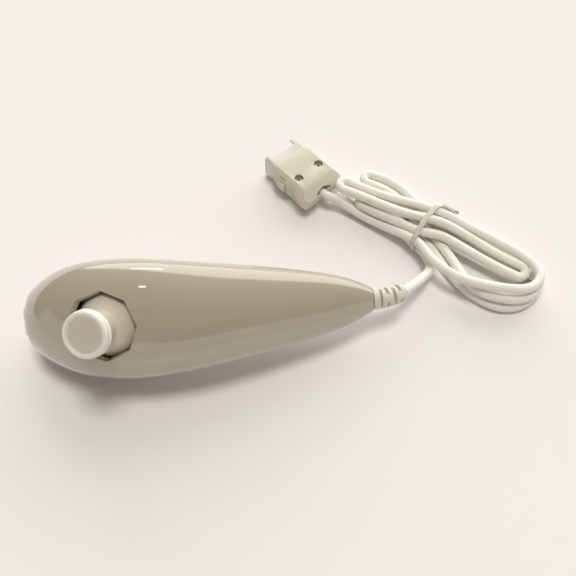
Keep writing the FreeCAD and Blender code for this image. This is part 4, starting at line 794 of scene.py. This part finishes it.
# %% [markdown]
# The housing is polished, slightly yellowed off-white. The stick is a paler, duller plastic, and
# the cord, the plug and the sleeve are a creamy white. Inside are boards, metal and rubber. Each
# row is the name, the colour as seen on a screen, the roughness, how much the colour varies, the
# size of its patches and of the grain in millimetres, and the grain's strength.

# %% The finishes, by material slot
finishes = {
    "shell_upper": finish("polished_housing", (180, 170, 150), 0.1, 0.02, 40, 0.8, 0.004, coat=1.0),
    "shell_lower": finish("polished_belly", (180, 170, 150), 0.11, 0.02, 40, 0.8, 0.004, coat=1.0),
    "cap": finish("stick_plastic", (212, 203, 186), 0.34, 0.03, 9, 0.35, 0.05, under_light=0.1),
    "button": finish("button_plastic", (208, 200, 182), 0.22, 0.03, 8, 0.4, 0.03),
    "grey_plastic": finish("grey_plastic", (128, 128, 126), 0.5, 0.05, 6, 0.3, 0.15),
    "black_plastic": finish("black_plastic", (38, 38, 40), 0.45, 0.08, 5, 0.3, 0.15),
    "white_plastic": finish("white_connector", (232, 230, 222), 0.4, 0.03, 5, 0.3, 0.1),
    "board": finish("green_board", (28, 92, 58), 0.35, 0.15, 2.0, 0.25, 0.1),
    "steel": finish("steel", (222, 218, 210), 0.35, 0.05, 3, 0.2, 0.08, metallic=1.0),
    "brass": finish("brass_contacts", (205, 178, 110), 0.25, 0.06, 2, 0.2, 0.05, metallic=1.0),
    "dome_rubber": finish("dome_rubber", (150, 150, 148), 0.7, 0.05, 4, 0.3, 0.2),
    "cord": finish("cord_jacket", (246, 242, 232), 0.38, 0.03, 14, 0.4, 0.06, under_light=0.1),
    "relief": finish("sleeve_rubber", (222, 217, 202), 0.42, 0.03, 6, 0.4, 0.06, under_light=0.1),
    "wires": finish("inner_wires", (190, 60, 50), 0.45, 0.08, 4, 0.3, 0.1),
    "ribbon": finish("ribbon_wires", (214, 212, 205), 0.45, 0.05, 2, 0.3, 0.1),
    "tie_wire": finish("tie_wire", (96, 88, 78), 0.45, 0.08, 1.0, 0.2, 0.1),
    "tie": finish("tie_paper", (214, 211, 198), 0.6, 0.05, 3, 0.2, 0.3),
    "plug_body": finish("plug_plastic", (222, 216, 198), 0.30, 0.03, 9, 0.4, 0.05, under_light=0.1),
    "plug_sleeve": finish("plug_sleeve", (226, 221, 208), 0.22, 0.03, 6, 0.4, 0.04,
                          under_light=0.1),
}
# The paler colour on the cap's rim and collar is a painted highlight.
with_painted_highlight(finishes["cap"], linear(238, 235, 225))
print("finishes", len(finishes))


# %% [markdown]
# ## CAD pieces that stay
# Small and hidden pieces are right as the CAD has them. They keep their meshes and get modifiers:
# weld the loose triangles, round the edges a little and split the shading at what stays sharp.

# %% Dress the CAD nodes
WELD, FLAT_ANGLE, ROUND_ANGLE, SPLIT_ANGLE = 0.002, 1.0, 38, 32
slot_of = {part["node"]: part["material_slot"] for part in frame["record"]["subparts"]}
rounded = {"plug_upper_shell": 0.35, "plug_lower_shell": 0.35, "plug_nose": 0.25,
           "strain_relief": 0.12}


def soften(piece, radius_mm):
    """Welded triangles, rounded edges where there is a radius, and crisp shading, by modifiers."""
    piece.data.shade_smooth()
    weld = piece.modifiers.new("weld", "WELD")
    weld.merge_threshold = WELD * MM
    if radius_mm:
        flat = piece.modifiers.new("flat", "DECIMATE")
        flat.decimate_type, flat.angle_limit = "DISSOLVE", np.radians(FLAT_ANGLE)
        edge = piece.modifiers.new("edge", "BEVEL")
        edge.width, edge.segments, edge.limit_method = radius_mm * MM, 3, "ANGLE"
        edge.angle_limit = np.radians(ROUND_ANGLE)
        edge.use_clamp_overlap = True
    split = piece.modifiers.new("split", "EDGE_SPLIT")
    split.split_angle = np.radians(SPLIT_ANGLE)


for name, piece in nodes.items():
    piece.data.materials.clear()
    piece.data.materials.append(finishes[slot_of[name]])
    soften(piece, rounded.get(name, 0.0))
print("dressed", len(nodes), "nodes; slots", sorted(set(slot_of.values())))


# %% [markdown]
# ## Riding and replacing
# A new piece moves with the CAD body that carries it, and hides the node that it stands for. The
# wires of the tie have a finish but no slot, because the record has none for them.

# %% Tie every new piece to its body
def stands_for(piece, body, slot, *replaced):
    """Gives the piece the finish of its slot, hangs it on its body, and hides the nodes that it
    replaces.
    """
    piece.data.materials.clear()
    piece.data.materials.append(finishes[slot])
    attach(piece, body)
    if replaced:
        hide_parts(*replaced)


stands_for(upper_shell, "body", "shell_upper", "upper_shell")
stands_for(lower_shell, "body", "shell_lower", "lower_shell")
stands_for(stick_cap, "stick", "cap", "stick_cap")
stands_for(tie, "body", "tie", "twist_tie")
for end in tie_ends:
    stands_for(end, "body", "tie")
for rod in tie_wires:
    stands_for(rod, "body", "tie_wire")
stands_for(cord, "body", "cord", "cord_lead", "cord_hank", "cord_tail")


# %% [markdown]
# ## Table and light
# The table is a pale matt sheet. Two wide soft lamps overhead light it: daylight from behind, and
# the ceiling, which is stronger and gives the soft shadows. Polished pieces do not mirror them.
# They mirror two small panels instead, as the short highlights on the housing.

# %% Table
TABLE_HALF, TABLE_UNDER = 2.0, -5e-5
floor_mesh = bpy.data.meshes.new("table")
floor_mesh.from_pydata([(x * TABLE_HALF, y * TABLE_HALF, TABLE_UNDER)
                        for x, y in ((-1, -1), (1, -1), (1, 1), (-1, 1))], [], [(0, 1, 2, 3)])
table = in_scene("table", floor_mesh)
table_top = finish("table_top", (241, 238, 236), 0.75, 0.004, 120, 1.0, 0.0, ior=1.2)
table.data.materials.append(table_top)
print("table", 2 * TABLE_HALF, "m wide,", -TABLE_UNDER / MM, "mm under the part")


# %% Soft lamps and small panels
LAMP_COLOUR = (1.0, 0.985, 0.965)
MIRROR_POINT, PANEL_DISTANCE = np.array([-19.6, 7.5, 36.2]) * MM, 1.2


def soft_sun(name, position, strength, spread):
    """A wide soft light that is as strong everywhere, and is not mirrored in polished pieces."""
    lamp = bpy.data.lights.new(name, "SUN")
    lamp.energy, lamp.angle, lamp.color = strength, np.radians(spread), LAMP_COLOUR
    holder = in_scene(name, lamp)
    holder.matrix_world = look_at(position, (0.0, 0.0, 0.0))
    holder.visible_glossy = False


def panel(name, direction, size, strength):
    """A small bright panel that the housing mirrors as a short highlight.

    Its power is strength times area times pi, which gives that strength from any distance."""
    lamp = bpy.data.lights.new(name, "AREA")
    lamp.shape, lamp.size, lamp.size_y = "RECTANGLE", size[0], size[1]
    lamp.energy = strength * size[0] * size[1] * np.pi
    place = MIRROR_POINT + PANEL_DISTANCE * np.array(direction)
    in_scene(name, lamp).matrix_world = look_at(place, MIRROR_POINT)


soft_sun("daylight", (-0.1, 0.5, 1.0), 0.22, 50)
soft_sun("ceiling", (0.10, 0.13, 0.99), 1.38, 18)
panel("window_pane", (-0.124, 0.816, 0.564), (0.26, 0.10), 5.0)
panel("ceiling_lamp", (-0.231, 0.040, 0.972), (0.06, 0.06), 12.0)


# %% [markdown]
# What the polished housing mirrors is the room: dim walls that grow lighter upwards, a pale band
# low on the near side, and a plain bright wall behind. Each has a soft edge, by the direction
# from the table: X to the right, Y away from the camera, Z up.

# %% The room round the table
DIM_ROOM, LIGHTER_UP = linear(100, 96, 90), linear(150, 147, 141)
NEAR_BAND, BRIGHT_WALL = linear(238, 231, 222), linear(255, 252, 246)
WALL_DIRECTION, ROOM_STRENGTH, WALL_STRENGTH = (0.34, 0.94, 0.0), 0.8, 1.55
room = bpy.data.worlds.new("room")
bpy.context.scene.world = room
room.use_nodes = True
tree = room.node_tree
direction = tree.nodes.new("ShaderNodeTexCoord").outputs["Generated"]
split = tree.nodes.new("ShaderNodeSeparateXYZ")
tree.links.new(direction, split.inputs[0])
towards = tree.nodes.new("ShaderNodeVectorMath")
towards.operation = "DOT_PRODUCT"
towards.inputs[1].default_value = WALL_DIRECTION
tree.links.new(direction, towards.inputs[0])


def step_between(value, low, high):
    """A smooth step: 0 at the value called low, 1 at the one called high."""
    node = tree.nodes.new("ShaderNodeMapRange")
    node.interpolation_type = "SMOOTHSTEP"
    node.inputs["From Min"].default_value, node.inputs["From Max"].default_value = low, high
    tree.links.new(value, node.inputs["Value"])
    return node.outputs["Result"]


def product(first, second, plus=0.0):
    """first * second + plus, where second is a socket or a number."""
    node = tree.nodes.new("ShaderNodeMath")
    node.operation = "MULTIPLY_ADD"
    tree.links.new(first, node.inputs[0])
    if isinstance(second, float):
        node.inputs[1].default_value = second
    else:
        tree.links.new(second, node.inputs[1])
    node.inputs[2].default_value = plus
    return node.outputs[0]


across, up = split.outputs["Y"], split.outputs["Z"]
upwards = step_between(up, 0.1, 1.0)
near_side = product(step_between(across, 0.05, -0.15), step_between(up, 0.38, 0.33))
behind = product(step_between(towards.outputs["Value"], 0.59, 0.66), step_between(up, 0.01, 0.08))
tone = mixed(tree, upwards, DIM_ROOM, LIGHTER_UP)
tone = mixed(tree, near_side, tone, NEAR_BAND)
tone = mixed(tree, behind, tone, BRIGHT_WALL)
background = tree.nodes["Background"]
tree.links.new(tone, background.inputs["Color"])
tree.links.new(product(behind, WALL_STRENGTH, ROOM_STRENGTH), background.inputs["Strength"])
print("room with", len(tree.nodes), "nodes, its bright wall towards", WALL_DIRECTION)
